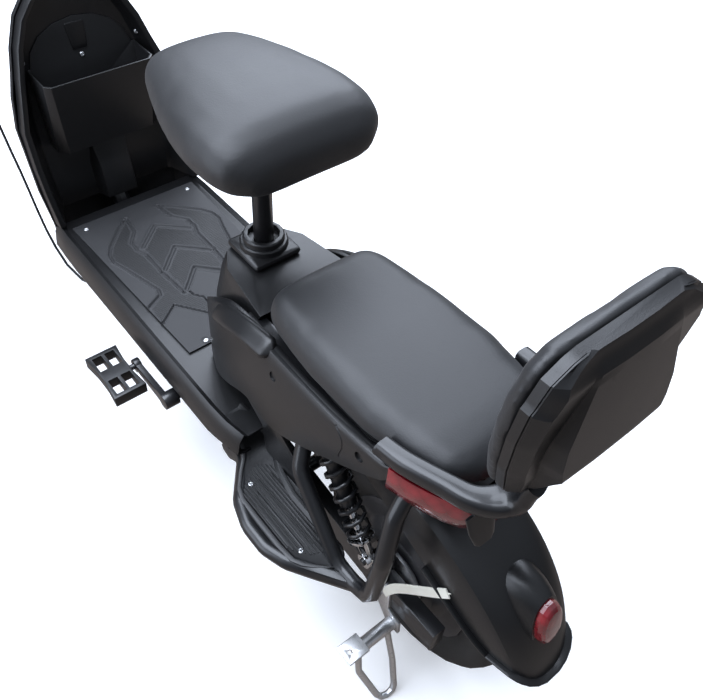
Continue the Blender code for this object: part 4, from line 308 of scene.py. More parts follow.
def red_glass(name, tint):
    """Moulded red lens with small prisms behind a smooth face, each prism's middle painted brighter as a
    painted glint.
    """
    made = Finish(name, Coat_Weight=1.0, Coat_Roughness=0.03, IOR=1.5)
    prisms = made.cells(60.0)
    painted_prism_glint = made.ramp(prisms, (0.15, 1.0), (0.75, 0.0))
    # painted glint: the base colour is brighter in the middle of each prism; the same mask also raises the
    # roughness a little
    return made.wear(Base_Color=made.tinted(painted_prism_glint, tint, 0.70, 1.35),
                     Roughness=painted_prism_glint * 0.10 + 0.12,
                     Normal=made.relief(prisms, 0.0010, 0.6))


FINISHES = {}


def make_finishes(colours):
    """Every finish of the moped, under the record's slot names, and the mat's ribs."""
    FINISHES.update(
        body_plastic=moulded("body_plastic", colours.plastic),
        soft_black=seat_skin("seat_skin", colours.skin),
        gloss_black=painted("gloss_black", colours.gloss, 0.27, 0.2),
        black_paint=painted("frame_paint", colours.paint, 0.26, 0.3),
        cast_alloy=painted("black_alloy", colours.alloy, 0.34, 0.2, 0.00012),
        battery_case=moulded("battery_case", shade(colours.plastic, 1.6), 0.5),
        rubber=rubbery("rubber", colours.rubber),
        mat_rubber=ribbed_rubber("mat_rubber", colours.rubber),
        tyre_rubber=rubbery("tyre_rubber", colours.tyre, 0.66, 500.0),
        red_lens=red_glass("red_lens", colours.lens),
        red_plastic=moulded("red_plastic", shade(colours.lens, 1.6), 0.3, 1200.0),
        zinc=metal("zinc_plate", colours.zinc, 0.30, 0.16),
        chrome=metal("chrome", colours.chrome, 0.05, 0.06, 0.25),
        cream_paint=painted("cream_paint", colours.cream, 0.32, 0.2),
    )


# Mesh helpers

def new_object(name, bm, finish):
    """Smooth mesh object in the frame's own coordinates."""
    mesh = bpy.data.meshes.new(name)
    bm.to_mesh(mesh)
    bm.free()
    made = bpy.data.objects.new(name, mesh)
    bpy.context.scene.collection.objects.link(made)
    mesh.materials.append(FINISHES[finish])
    smooth_faces(mesh)
    return made


def smooth_faces(mesh):
    for face in mesh.polygons:
        face.use_smooth = True


def welded_copy(node):
    """Closed copy of a solid, with its loose triangles joined."""
    bm = bmesh.new()
    bm.from_mesh(frame["nodes"][node].data)
    bmesh.ops.remove_doubles(bm, verts=bm.verts, dist=0.00001)
    return bm


def add_modifier(made, kind, **settings):
    modifier = made.modifiers.new(kind.title(), kind)
    for label, value in settings.items():
        setattr(modifier, label, value)
    return modifier


def settle(made):
    """Applies the object's modifiers."""
    graph = bpy.context.evaluated_depsgraph_get()
    graph.update()
    result = bpy.data.meshes.new_from_object(made.evaluated_get(graph))
    made.modifiers.clear()
    old = made.data
    made.data = result
    bpy.data.meshes.remove(old)


def smooth_by_angle(made, degrees):
    """Smooth shading, broken at edges sharper than this."""
    bm = bmesh.new()
    bm.from_mesh(made.data)
    limit = math.radians(degrees)
    for edge in bm.edges:
        edge.smooth = not (len(edge.link_faces) == 2 and edge.calc_face_angle(0.0) > limit)
    for face in bm.faces:
        face.smooth = True
    bm.to_mesh(made.data)
    bm.free()


def carve(made, tools):
    """Cuts the tools' shapes out of a piece."""
    tool = new_object("tool", tools, "body_plastic")
    add_modifier(made, "BOOLEAN", operation="DIFFERENCE", object=tool, solver="EXACT")
    settle(made)
    bpy.data.objects.remove(tool, do_unlink=True)


def finished_piece(name, bm, degrees, finish="body_plastic", body="frame", stands_for=None,
                   edge=0.0, tools=None):
    """Piece carved and rounded where asked, shaded smooth up to an angle, on its body."""
    made = new_object(name, bm, finish)
    if tools:
        carve(made, tools)
    if edge:
        add_modifier(made, "BEVEL", width=edge, segments=2, limit_method="ANGLE",
                     angle_limit=math.radians(degrees), use_clamp_overlap=True)
        settle(made)
    smooth_by_angle(made, degrees)
    if stands_for in BENDING:
        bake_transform(made)
    else:
        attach(made, body)
    if stands_for:
        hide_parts(stands_for)
    return made


def upright_to(axis, centre):
    """Matrix that stands a form made round Z along an axis at a point."""
    turn = Vector((0, 0, 1)).rotation_difference(Vector(axis).normalized()).to_matrix().to_4x4()
    return Matrix.Translation(centre) @ turn


def corners(verts):
    """Lowest and highest corner of the box round some vertices."""
    return [Vector([pick(vert.co[k] for vert in verts) for k in range(3)]) for pick in (min, max)]


# Shape helpers

def curve_through(points, per_span):
    """Points along a smooth curve through the given ones."""
    padded = [2 * points[0] - points[1], *points, 2 * points[-1] - points[-2]]
    fine = []
    for before, start, end, after in zip(padded, padded[1:], padded[2:], padded[3:]):
        slope = end - before
        bow = 2 * before - 5 * start + 4 * end - after
        twist = 3 * start - before - 3 * end + after
        for i in range(per_span):
            t = i / per_span
            fine.append(0.5 * (2 * start + slope * t + bow * t * t + twist * t ** 3))
    fine.append(points[-1].copy())
    return fine


def line_through(places, per_span):
    """Smooth curve through places that are given ahead of the rear axle."""
    return curve_through([ahead(*place) for place in places], per_span)


def rounded_section(half_width, half_height, power=3.2, count=20):
    """Closed superellipse outline, squarer with a higher power."""
    outline = []
    for i in range(count):
        turn = 2 * math.pi * i / count
        c, s = math.cos(turn), math.sin(turn)
        outline.append((half_width * math.copysign(abs(c) ** (2 / power), c),
                        half_height * math.copysign(abs(s) ** (2 / power), s)))
    return outline


def joined_rings(rings, bm=None):
    """Skin over rings of equal count, closed at both ends."""
    bm = bm or bmesh.new()
    rows = [[bm.verts.new(point) for point in ring] for ring in rings]
    for first, second in zip(rows, rows[1:]):
        for i in range(len(first)):
            j = (i + 1) % len(first)
            bm.faces.new((first[i], first[j], second[j], second[i]))
    bm.faces.new(rows[0])
    bm.faces.new(rows[-1])
    bmesh.ops.recalc_face_normals(bm, faces=bm.faces)
    return bm


def swept(points, section, up=(0, 0, 1), scales=None, bm=None):
    """Section carried along a line of points, its height kept near the given direction."""
    rings = []
    for i, point in enumerate(points):
        along = points[min(i + 1, len(points) - 1)] - points[max(i - 1, 0)]
        side = along.cross(Vector(up)).normalized()
        over = side.cross(along).normalized()
        wide, tall = scales[i] if scales else (1.0, 1.0)
        rings.append([point + side * a * wide + over * b * tall for a, b in section])
    return joined_rings(rings, bm)


def mirror_over(bm):
    """Adds the other side's copy of everything in the mesh."""
    geometry = bmesh.ops.duplicate(bm, geom=bm.verts[:] + bm.edges[:] + bm.faces[:])["geom"]
    verts = [item for item in geometry if isinstance(item, bmesh.types.BMVert)]
    faces = [item for item in geometry if isinstance(item, bmesh.types.BMFace)]
    bmesh.ops.scale(bm, vec=(1, -1, 1), verts=verts)
    bmesh.ops.reverse_faces(bm, faces=faces)
    return bm


def distance_to(point, first, second):
    """Distance of a plan point from a plan segment."""
    dx, dy = second[0] - first[0], second[1] - first[1]
    px, py = point[0] - first[0], point[1] - first[1]
    share = max(0.0, min(1.0, (px * dx + py * dy) / (dx * dx + dy * dy)))
    return math.hypot(px - share * dx, py - share * dy)


def inside(point, outline):
    """Whether a plan point lies inside a plan outline."""
    x, y = point
    held = False
    for (x1, y1), (x2, y2) in zip(outline, outline[1:] + outline[:1]):
        if (y1 > y) != (y2 > y) and x < x1 + (y - y1) * (x2 - x1) / (y2 - y1):
            held = not held
    return held


def between(value, *stops):
    """Level at a value, straight between stops of rising value."""
    if value <= stops[0][0]:
        return stops[0][1]
    for (low, first), (high, last) in zip(stops, stops[1:]):
        if value <= high:
            return first + (last - first) * (value - low) / (high - low)
    return stops[-1][1]


# Solids

# Bevel width of a solid's edges and the angle in degrees from which an edge is one
PLAIN_EDGE, PLAIN_ANGLE = 0.0006, 32.0
EDGE_SIZES = {
    **dict.fromkeys(("rear_tyre", "front_tyre", "grab_rail"), (0.0, 50.0)),
    **dict.fromkeys(("guard_loop_left", "guard_loop_right"), (0.0, 50.0)),
    **dict.fromkeys(("shock_spring_left", "shock_spring_right", "brake_cable"), (0.0, 60.0)),
    "front_fender": (0.0, 40.0),
    "drive_chain": (0.0002, PLAIN_ANGLE),
}
FLAT_ANGLE = 0.6          # triangles that differ by less are one flat face
SPECIAL_FINISH = dict.fromkeys(("shock_body_left", "shock_body_right"), "gloss_black")
MADE_ANEW = {"saddle", "bench_cushion", "backrest_pad", "floor_mat", "backrest_shell", "rear_fender",
             "fender_lamp", "side_cover_left", "side_cover_right"}
RAIL_END_BLOCK = ((0.104, 0.572), (0.140, 0.572), (0.140, 0.612), (0.104, 0.612))
RAIL_END_LENGTH = 0.060

# Solids that bend between two bodies, each with where the bend starts and ends
BENDING = {"brake_cable": ("frame", "steering", ahead(1.000, 0.168, 0.560), ahead(0.960, 0.154, 0.985))}
for side, y in (("left", 0.098), ("right", -0.098)):
    BENDING["shock_spring_" + side] = ("shock_top_" + side, "shock_low_" + side,
                                       ahead(0.1105, y, 0.4365), ahead(0.0400, y, 0.3280))


def rail_front_ends():
    """Blocks round the rail's front ends, which the cast rail leaves out."""
    bm = bmesh.new()
    for side in (1, -1):
        ends = [[ahead(fore, side * y, z) for y, z in RAIL_END_BLOCK] for fore in (0.0, RAIL_END_LENGTH)]
        joined_rings(ends, bm)
    return bm


def soften(name, finish):
    """The solid again, with whole flat faces and rounded edges, standing for the plain one."""
    edge, degrees = EDGE_SIZES.get(name, (PLAIN_EDGE, PLAIN_ANGLE))
    bm = welded_copy(name)
    bmesh.ops.dissolve_limit(bm, angle_limit=math.radians(FLAT_ANGLE), verts=bm.verts, edges=bm.edges,
                             delimit={"NORMAL"})
    tools = rail_front_ends() if name == "grab_rail" else None
    finished_piece("dressed_" + name, bm, degrees, finish, body=BODIES[name],
                   stands_for=name, edge=edge, tools=tools)


class MOPED_OT_finish_solids(Operator):
    """Give every carried-over solid its finish and rounded edges"""
    bl_idname = "moped.finish_solids"
    bl_label = "Finish the solids"

    def execute(self, context):
        make_finishes(context.scene.moped_colours)
        for name, node in frame["nodes"].items():
            finish = SPECIAL_FINISH.get(name, SLOTS[name])
            node.data.materials.clear()
            node.data.materials.append(FINISHES[finish])
            if name not in MADE_ANEW:
                soften(name, finish)
        return {"FINISHED"}


# Padded pieces

CLOTH_STEPS = 20
CLOTH_STIFFNESS = 12.0
CLOTH_BENDING = 3.0
SADDLE_ROUNDS, BENCH_ROUNDS, BACKREST_ROUNDS = 13, 7, 1

# Bench cage: its half widths and shares of its height by distance, then its underside and its top
BENCH_REAR, BENCH_FRONT = -0.100, 0.272
BENCH_WIDTHS = ((BENCH_REAR, 0.030), (-0.094, 0.054), (-0.084, 0.073), (-0.070, 0.0880), (-0.039, 0.0960),
                (0.0, 0.1030), (0.040, 0.109), (0.150, 0.106), (0.200, 0.1005), (0.235, 0.0950),
                (0.255, 0.0880), (0.266, 0.0770), (BENCH_FRONT, 0.060))
BENCH_LIFTS = ((BENCH_REAR, 0.30), (-0.094, 0.62), (-0.085, 0.82), (-0.070, 0.93), (-0.040, 0.98),
               (0.245, 1.0), (0.262, 0.93), (0.268, 0.72), (BENCH_FRONT, 0.36))
BENCH_MORE_RINGS = (-0.097, -0.089, -0.055, 0.080, 0.110, 0.245, 0.262, 0.269)
BENCH_FOOT, BENCH_FOOT_RISE, BENCH_FOOT_FLAT = 0.554, 0.016, 0.150
BENCH_TOP, BENCH_TOP_FALL, BENCH_TOP_SHARE = 0.618, 0.006, 0.45
# Half section as shares of the half width and the height, from the middle of the underside round to the top
BENCH_SECTION = ((0.0, 0.0), (0.60, 0.0), (0.925, 0.0), (1.0, 0.30), (0.990, 0.52), (0.925, 0.80),
                 (0.760, 0.95), (0.350, 0.99), (0.0, 1.0))


def inflate(made, pressure):
    """Swells a piece by cloth pressure, without gravity."""
    cloth = add_modifier(made, "CLOTH")
    cloth.settings.effector_weights.gravity = 0.0
    cloth.settings.use_pressure = True
    cloth.settings.uniform_pressure_force = pressure
    cloth.settings.quality = 4
    cloth.settings.tension_stiffness = CLOTH_STIFFNESS
    cloth.settings.compression_stiffness = CLOTH_STIFFNESS
    cloth.settings.bending_stiffness = CLOTH_BENDING
    cloth.point_cache.frame_start = 1
    cloth.point_cache.frame_end = CLOTH_STEPS
    for step in range(1, CLOTH_STEPS + 1):
        bpy.context.scene.frame_set(step)
    settle(made)
    bpy.context.scene.frame_set(1)


def even_out(made, rounds, low, high):
    """Smooths a piece in rounds and stretches it back to the box that it came from."""
    bm = bmesh.new()
    bm.from_mesh(made.data)
    for _ in range(rounds):
        bmesh.ops.smooth_vert(bm, verts=bm.verts, factor=0.5,
                              use_axis_x=True, use_axis_y=True, use_axis_z=True)
    now_low, now_high = corners(bm.verts)
    for vert in bm.verts:
        for k in range(3):
            share = (vert.co[k] - now_low[k]) / (now_high[k] - now_low[k])
            vert.co[k] = low[k] + (high[k] - low[k]) * share
    bm.to_mesh(made.data)
    bm.free()


def padded_from(node, sizes, voxel, rounds, cage=None):
    """Foam piece under its skin, swollen by cloth pressure from the node's own form or a fuller cage."""
    bm = cage or welded_copy(node)
    low, high = corners(bm.verts)
    made = new_object("padded_" + node, bm, "soft_black")
    add_modifier(made, "REMESH", mode="VOXEL", voxel_size=voxel, use_smooth_shade=True)
    settle(made)
    before = [vert.co.copy() for vert in made.data.vertices]
    inflate(made, sizes.pressure)
    for vert, start in zip(made.data.vertices, before):
        move = vert.co - start
        if move.length > sizes.swell:
            vert.co = start + move * (sizes.swell / move.length)
    even_out(made, rounds, low, high)
    add_modifier(made, "SUBSURF", levels=1, render_levels=1)
    settle(made)
    smooth_faces(made.data)
    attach(made, BODIES[node])
    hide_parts(node)


def bench_cage():
    """Bench cushion with square front corners and a flat top."""
    stations = sorted([*(distance for distance, width in BENCH_WIDTHS), *BENCH_MORE_RINGS])
    rings = []
    for distance in stations:
        width = between(distance, *BENCH_WIDTHS)
        foot = BENCH_FOOT + BENCH_FOOT_RISE * between(distance, (BENCH_REAR, 1.0), (BENCH_FOOT_FLAT, 0.0))
        share = (BENCH_FRONT - distance) / (BENCH_FRONT - BENCH_REAR)
        top = BENCH_TOP - BENCH_TOP_FALL * abs(share - BENCH_TOP_SHARE)
        lift = (top - foot) * between(distance, *BENCH_LIFTS)
        whole = [*BENCH_SECTION, *((-a, b) for a, b in reversed(BENCH_SECTION[1:-1]))]
        rings.append([ahead(distance, width * a, foot + lift * b) for a, b in whole])
    return joined_rings(rings)


class MOPED_OT_padding(Operator):
    """Make the saddle, the bench cushion and the backrest pad as padded pieces"""
    bl_idname = "moped.padding"
    bl_label = "Padded pieces"

    def execute(self, context):
        sizes = context.scene.moped_upholstery
        padded_from("saddle", sizes, sizes.voxel, SADDLE_ROUNDS)
        padded_from("bench_cushion", sizes, sizes.voxel, BENCH_ROUNDS, bench_cage())
        padded_from("backrest_pad", sizes, sizes.fine_voxel, BACKREST_ROUNDS)
        return {"FINISHED"}


# Side cover profiles at distances ahead of the rear axle, each from its upper edge down

COVER_PROFILES = (
    (0.436, ((0.0825, 0.462), (0.0840, 0.440), (0.0850, 0.390), (0.0855, 0.337))),
    (0.392, ((0.0900, 0.500), (0.0985, 0.488), (0.1040, 0.420), (0.1030, 0.342))),
    (0.345, ((0.0920, 0.530), (0.1080, 0.520), (0.1155, 0.450), (0.1130, 0.366))),
    (0.280, ((0.0960, 0.5465), (0.1130, 0.540), (0.1215, 0.470), (0.1200, 0.402))),
    (0.205, ((0.1000, 0.548), (0.1150, 0.544), (0.1240, 0.480), (0.1215, 0.400))),
    (0.090, ((0.1070, 0.556), (0.1190, 0.552), (0.1240, 0.510), (0.1200, 0.466))),
    (0.000, ((0.1120, 0.570), (0.1200, 0.567), (0.1215, 0.549), (0.1195, 0.530))),
    (-0.020, ((0.1110, 0.575), (0.1175, 0.574), (0.1195, 0.563), (0.1185, 0.550))),
)
COVER_WALL = 0.005
COVER_EDGE_DROP = 0.001
PIT_RADIUS, PIT_FLARE, PIT_DEPTH, PIT_TILT = 0.0070, 1.15, 0.007, 0.12
PIT_PLACES = ((0.2055, 0.1215, 0.5190), (0.0260, 0.1224, 0.5449))
CREASE_LINE = ((0.0746, 0.1190, 0.5540), (0.0648, 0.1210, 0.5490), (0.0566, 0.1228, 0.5404),
               (0.0555, 0.1235, 0.5263), (0.0620, 0.1228, 0.5040))
CREASE_SECTION = (0.0022, 0.0016, 2.0, 8)


def cover_shell(side):
    """Smooth skin through the profiles, with a wall to the inside."""
    profiles = [curve_through([ahead(distance, side * y, z) for y, z in profile], 4)
                for distance, profile in COVER_PROFILES]
    lines = [curve_through(line, 6) for line in zip(*profiles)]
    wall = Vector((0, side * COVER_WALL, 0))
    rings = []
    for outer in zip(*lines):
        inner = [point - wall for point in reversed(outer)]
        inner[-1] = outer[0] - wall * 0.5 - Vector((0, 0, COVER_EDGE_DROP))
        rings.append([*outer, *inner])
    return joined_rings(rings)


def cover_tools(side):
    """Drills for the screw pits and a bar for the crease."""
    bm = bmesh.new()
    for distance, y, z in PIT_PLACES:
        drill = upright_to((0, side, PIT_TILT), ahead(distance, side * y, z))
        bmesh.ops.create_cone(bm, cap_ends=True, segments=20, radius1=PIT_RADIUS,
                              radius2=PIT_RADIUS * PIT_FLARE, depth=PIT_DEPTH, matrix=drill)
    crease = line_through([(distance, side * y, z) for distance, y, z in CREASE_LINE], 4)
    return swept(crease, rounded_section(*CREASE_SECTION), (0, side, 0.2), None, bm)


class MOPED_OT_covers(Operator):
    """Make both side covers as smooth shells with their screw pits and crease"""
    bl_idname = "moped.covers"
    bl_label = "Side covers"

    def execute(self, context):
        for side, name in ((1, "side_cover_left"), (-1, "side_cover_right")):
            finished_piece("smooth_" + name, cover_shell(side), 34.0, stands_for=name,
                           tools=cover_tools(side))
        return {"FINISHED"}


# Screws, each with its place ahead of the rear axle and the direction of its head

UP, BACK = (0, 0, 1), (-1, 0, 0.16)
# Radius of the head, its flattening and its foot, then its face, rim and cross as shares of the radius
SCREW_RADIUS, SCREW_HEIGHT, SCREW_FOOT = 0.0045, 0.55, -0.0004
SCREW_FACE, SCREW_RIM, SCREW_CROSS = 0.45, 0.10, 0.16
MAT_SCREW = (0.466, 0.0794)
SCREWS = [("mat_front", (0.842, 0.110, 0.3350), UP), ("mat_rear", (*MAT_SCREW, 0.3338), UP),
          ("footrest_front", (0.2144, 0.1618, 0.2846), UP), ("footrest_rear", (0.0792, 0.1667, 0.2842), UP),
          ("pocket", (0.9596, 0.1078, 0.6178), BACK)]
SCREWS += [(name + "_right", (distance, -y, z), axis) for name, (distance, y, z), axis in SCREWS]
SCREWS += [("pocket_middle", (0.9630, 0.0, 0.6033), BACK)]


def screw(name, centre, axis):
    """Pan-head cross-recess screw seated on a surface."""
    bm = bmesh.new()
    bmesh.ops.create_uvsphere(bm, u_segments=20, v_segments=10, radius=SCREW_RADIUS)
    for vert in bm.verts:
        vert.co.z = max(vert.co.z, SCREW_FOOT) * SCREW_HEIGHT
    top = [face for face in bm.faces if face.calc_center_median().z > SCREW_RADIUS * SCREW_FACE]
    bmesh.ops.inset_region(bm, faces=top, thickness=SCREW_RADIUS * SCREW_RIM)
    for face in top:
        for vert in face.verts:
            arm = min(abs(vert.co.x), abs(vert.co.y))
            if arm < SCREW_RADIUS * SCREW_CROSS:
                vert.co.z -= SCREW_RADIUS * SCREW_CROSS
    bmesh.ops.transform(bm, matrix=upright_to(axis, centre), verts=bm.verts)
    made = new_object(name, bm, "zinc")
    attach(made, "frame")


class MOPED_OT_screws(Operator):
    """Set the screws of the mat, the footrests and the pocket"""
    bl_idname = "moped.screws"
    bl_label = "Screws"

    def execute(self, context):
        for name, place, axis in SCREWS:
            screw("screw_" + name, ahead(*place), axis)
        return {"FINISHED"}


# Floor mat, left half of its pattern in plan as (distance ahead of the rear axle, y)

MAT_REAR, MAT_FRONT, MAT_LOW, MAT_TOP = 0.4575, 0.8595, 0.3324, 0.3351
MAT_REAR_WIDTH, MAT_FRONT_WIDTH = 0.116, 0.130
MAT_COLUMNS, MAT_ROWS = 268, 170
BAND_OUTER = [(0.829, 0.034), (0.812, 0.055), (0.768, 0.098), (0.748, 0.110), (0.728, 0.112),
              (0.700, 0.1035), (0.617, 0.083), (0.604, 0.087), (0.588, 0.117)]
BAND_INNER = [(0.829, 0.034), (0.785, 0.040), (0.760, 0.060), (0.733, 0.061), (0.712, 0.0545),
              (0.655, 0.055), (0.585, 0.050)]
PANEL_FRONT = [(0.5425, 0.117), (0.569, 0.080), (0.511, 0.037), (0.490, 0.0)]
PANEL_MIDDLE = [(0.590, 0.042), (0.5705, 0.039), (0.557, 0.029), (0.515, 0.028), (0.500, 0.0)]
ARROWS = [[(0.7786, 0.0), (0.735, 0.049)], [(0.7032, 0.0), (0.6575, 0.047)], [(0.6326, 0.0), (0.590, 0.042)]]
MAT_FIELDS = [BAND_OUTER + PANEL_FRONT + PANEL_MIDDLE[::-1] + BAND_INNER[:0:-1],
              ARROWS[0] + ARROWS[1][::-1], ARROWS[1] + ARROWS[2][::-1]]
# Lines of the pattern, each with half the width of its groove
MAT_GROOVES = [(BAND_OUTER, 0.0026), (BAND_INNER, 0.0030), (PANEL_FRONT, 0.0018), (PANEL_MIDDLE, 0.0018),
               *((arrow, 0.0036) for arrow in ARROWS)]
FIELD_RISE, GROOVE_DEPTH, GROOVE_SLOPE = 0.0008, 0.0026, 1.7
RIM_RISE, RIM_REACH = 0.0014, 1.9
MAT_PIT_RADIUS, MAT_PIT_DEPTH = 0.0075, 0.0016


def mat_relief(plan):
    """Height of the mat at a plan point, and whether the point lies on a ribbed field."""
    in_field = any(inside(plan, outline) for outline in MAT_FIELDS)
    height = MAT_TOP + (FIELD_RISE if in_field else 0.0)
    for line, reach in MAT_GROOVES:
        gap = min(distance_to(plan, *pair) for pair in zip(line, line[1:]))
        if gap < reach:
            height = min(height, MAT_TOP - GROOVE_DEPTH * min(1.0, GROOVE_SLOPE * (1 - gap / reach)))
            in_field = False
        elif gap < RIM_REACH * reach:
            height = max(height, MAT_TOP + RIM_RISE)
            in_field = False
    if math.dist(plan, MAT_SCREW) < MAT_PIT_RADIUS:
        height = MAT_TOP - MAT_PIT_DEPTH
    return height, in_field


def close_mat(bm):
    """Skirt down to the floor pan and the underside."""
    skirt = bmesh.ops.extrude_edge_only(bm, edges=[edge for edge in bm.edges if edge.is_boundary])["geom"]
    for item in skirt:
        if isinstance(item, bmesh.types.BMVert):
            item.co.z = MAT_LOW
    bmesh.ops.holes_fill(bm, edges=[edge for edge in bm.edges if edge.is_boundary], sides=0)
    bmesh.ops.recalc_face_normals(bm, faces=bm.faces)


class MOPED_OT_mat(Operator):
    """Make the floor mat with its grooves, arrows and ribbed fields"""
    bl_idname = "moped.mat"
    bl_label = "Floor mat"

    def execute(self, context):
        bm = bmesh.new()
        bmesh.ops.create_grid(bm, x_segments=MAT_COLUMNS, y_segments=MAT_ROWS, size=1.0)
        ribbed = set()
        for vert in bm.verts:
            share = (vert.co.x + 1) / 2
            distance = MAT_REAR + (MAT_FRONT - MAT_REAR) * share
            y = vert.co.y * (MAT_REAR_WIDTH + (MAT_FRONT_WIDTH - MAT_REAR_WIDTH) * share)
            height, in_field = mat_relief((distance, abs(y)))
            if in_field:
                ribbed.add(vert)
            vert.co = ahead(distance, y, height)
        close_mat(bm)
        for face in bm.faces:
            if all(vert in ribbed for vert in face.verts):
                face.material_index = 1
        made = finished_piece("ribbed_floor_mat", bm, 60.0, "rubber", stands_for="floor_mat")
        made.data.materials.append(FINISHES["mat_rubber"])
        return {"FINISHED"}


# Backrest shell, by heights over its lower edge and below its upper one

BACK_LOW, BACK_HIGH, BACK_FRONT, BACK_HALF = 0.645, 0.8635, -0.112, 0.114
BACK_LEAN = math.tan(math.radians(4.5))
BACK_STEPS = 48
CROWN_HEIGHT = 0.050
# Depths of the shell's front and of its parting line, which is sunk and chamfered
SHELL_FRONT, GROOVE_FRONT, GROOVE_BACK = 0.0223, 0.0325, 0.0349
GROOVE_SINK, GROOVE_CHAMFER = 0.0018, 0.0006
PLATE_INSET = 0.012
# By height over the lower edge: share of the half width, cheek's depth, plate's depth and half width
BACK_RISE = ((0.0, 0.64), (0.020, 0.80), (0.070, 0.93), (0.125, 1.0))
CHEEK_LOW = ((0.0, 0.034), (0.012, 0.044), (0.050, 0.048))
PLATE_DEPTH = ((0.0, 0.038), (0.014, 0.050), (0.070, 0.073), (0.196, 0.049), (0.2185, 0.034))
PLATE_HALF = ((0.0, 0.058), (0.050, 0.068), (0.085, 0.077), (0.115, 0.076), (0.2185, 0.049))
# By height below the upper edge: share of the half width, cheek's depth
BACK_CROWN = ((0.0, 0.60), (0.004, 0.72), (0.018, 0.90), (CROWN_HEIGHT, 0.985))
CHEEK_HIGH = ((0.0, 0.0365), (0.002, 0.038), (0.008, 0.0395), (0.026, 0.048))


def back_half_ring(z):
    """Depth and y of one side at a height, from the front round the cheek to the raised plate."""
    low, high = z - BACK_LOW, BACK_HIGH - z
    crown = between(high, *BACK_CROWN) if high < CROWN_HEIGHT else 1.0
    width = BACK_HALF * min(between(low, *BACK_RISE), crown)
    cheek = min(between(low, *CHEEK_LOW), between(high, *CHEEK_HIGH))
    plate = max(cheek, between(low, *PLATE_DEPTH))
    inner = min(width - PLATE_INSET, between(low, *PLATE_HALF))
    return [(SHELL_FRONT, width), (GROOVE_FRONT, width),
            (GROOVE_FRONT + GROOVE_CHAMFER, width - GROOVE_SINK),
            (GROOVE_BACK - GROOVE_CHAMFER, width - GROOVE_SINK), (GROOVE_BACK, width - GROOVE_CHAMFER),
            (cheek - 0.004, width - 0.0065), (cheek, width - 0.011), (cheek, inner + 0.0055),
            (plate, inner), (plate + 0.0012, inner * 0.4)]


class MOPED_OT_backrest(Operator):
    """Make the backrest's rear shell with its parting line and its raised plate"""
    bl_idname = "moped.backrest"
    bl_label = "Backrest shell"

    def execute(self, context):
        rings = []
        for i in range(BACK_STEPS + 1):
            z = BACK_LOW + (BACK_HIGH - BACK_LOW) * i / BACK_STEPS
            half = back_half_ring(z)
            fore = BACK_FRONT - (z - BACK_LOW) * BACK_LEAN
            whole = [*half, *((depth, -y) for depth, y in reversed(half))]
            rings.append([ahead(fore - depth, y, z) for depth, y in whole])
        finished_piece("faceted_backrest_shell", joined_rings(rings), 21.0, stands_for="backrest_shell")
        return {"FINISHED"}


# Grab rail, from its left front end round to its tip under the backrest

RAIL_LINE = ((-0.002, 0.1142, 0.5930), (-0.036, 0.1105, 0.5965), (-0.085, 0.0960, 0.5995),
             (-0.114, 0.0860, 0.6010), (-0.132, 0.0700, 0.6035), (-0.1425, 0.0560, 0.6120),
             (-0.1505, 0.0490, 0.6270), (-0.1580, 0.0460, 0.6520))
RAIL_RADIUS = 0.0120
RAIL_WIDE = (0.98, 1.02, 1.05, 1.2, 1.5, 1.7, 1.7, 1.5)
RAIL_TALL = (1.0, 1.04, 1.06, 1.05, 1.05, 1.0, 0.9, 0.8)
CROSS_BAR_X, CROSS_BAR_HALF, CROSS_BAR_Z, CROSS_BAR_STEPS = -0.1385, 0.062, 0.603, 12
CROSS_BAR_SECTION, TONGUE_SECTION = (0.0118, 0.0105), (0.021, 0.0020, 5.0)
TONGUE_TOP, TONGUE_RUN, TONGUE_DROP = (-0.122, 0.078, 0.580), 0.018, 0.042
# Shares down a tongue, each with its width there
TONGUE_WIDTHS = ((0.0, 1.0), (0.5, 0.95), (0.9, 0.7), (1.0, 0.45))


def add_tongue(bm, side):
    """Flat tongue that hangs from the rail over the fender."""
    distance, y, z = TONGUE_TOP
    line = [ahead(distance - TONGUE_RUN * share, side * y, z - TONGUE_DROP * share)
            for share, wide in TONGUE_WIDTHS]
    scales = [(wide, 1) for share, wide in TONGUE_WIDTHS]
    swept(line, rounded_section(*TONGUE_SECTION), (-1, 0, 1), scales, bm)


class MOPED_OT_rail(Operator):
    """Make the cast grab rail that curls up to the backrest"""
    bl_idname = "moped.rail"
    bl_label = "Grab rail"

    def execute(self, context):
        points = line_through(RAIL_LINE, 6)
        spots = [i / (len(points) - 1) * (len(RAIL_LINE) - 1) for i in range(len(points))]
        scales = [[between(spot, *enumerate(sizes)) for sizes in (RAIL_WIDE, RAIL_TALL)] for spot in spots]
        bm = swept(points, rounded_section(RAIL_RADIUS, RAIL_RADIUS, 3.0), scales=scales)
        mirror_over(bm)
        cross = [ahead(CROSS_BAR_X, CROSS_BAR_HALF - 2 * CROSS_BAR_HALF * i / CROSS_BAR_STEPS, CROSS_BAR_Z)
                 for i in range(CROSS_BAR_STEPS + 1)]
        swept(cross, rounded_section(*CROSS_BAR_SECTION), bm=bm)
        for side in (1, -1):
            add_tongue(bm, side)
        finished_piece("cast_grab_rail", bm, 50.0, "gloss_black")
        return {"FINISHED"}


# Rear fender, by degrees round the rear axle from straight ahead over the top to the back

FENDER_START, FENDER_END = 13.0, 165.0
FENDER_FULL = 175.0       # degrees over which its section would run out, past its rear end
FENDER_STEPS, LIP_FIRST_STEP = 52, 34
FENDER_RADIUS, FENDER_REACH, REACH_RATE = 0.2395, 0.0225, 3.5
FENDER_HALF, HALF_SWELL, HALF_START, HALF_POWER = 0.038, 0.030, 0.2, 0.9
SIDE_DROP, SIDE_SWELL, SIDE_START = 0.030, 0.060, 0.15
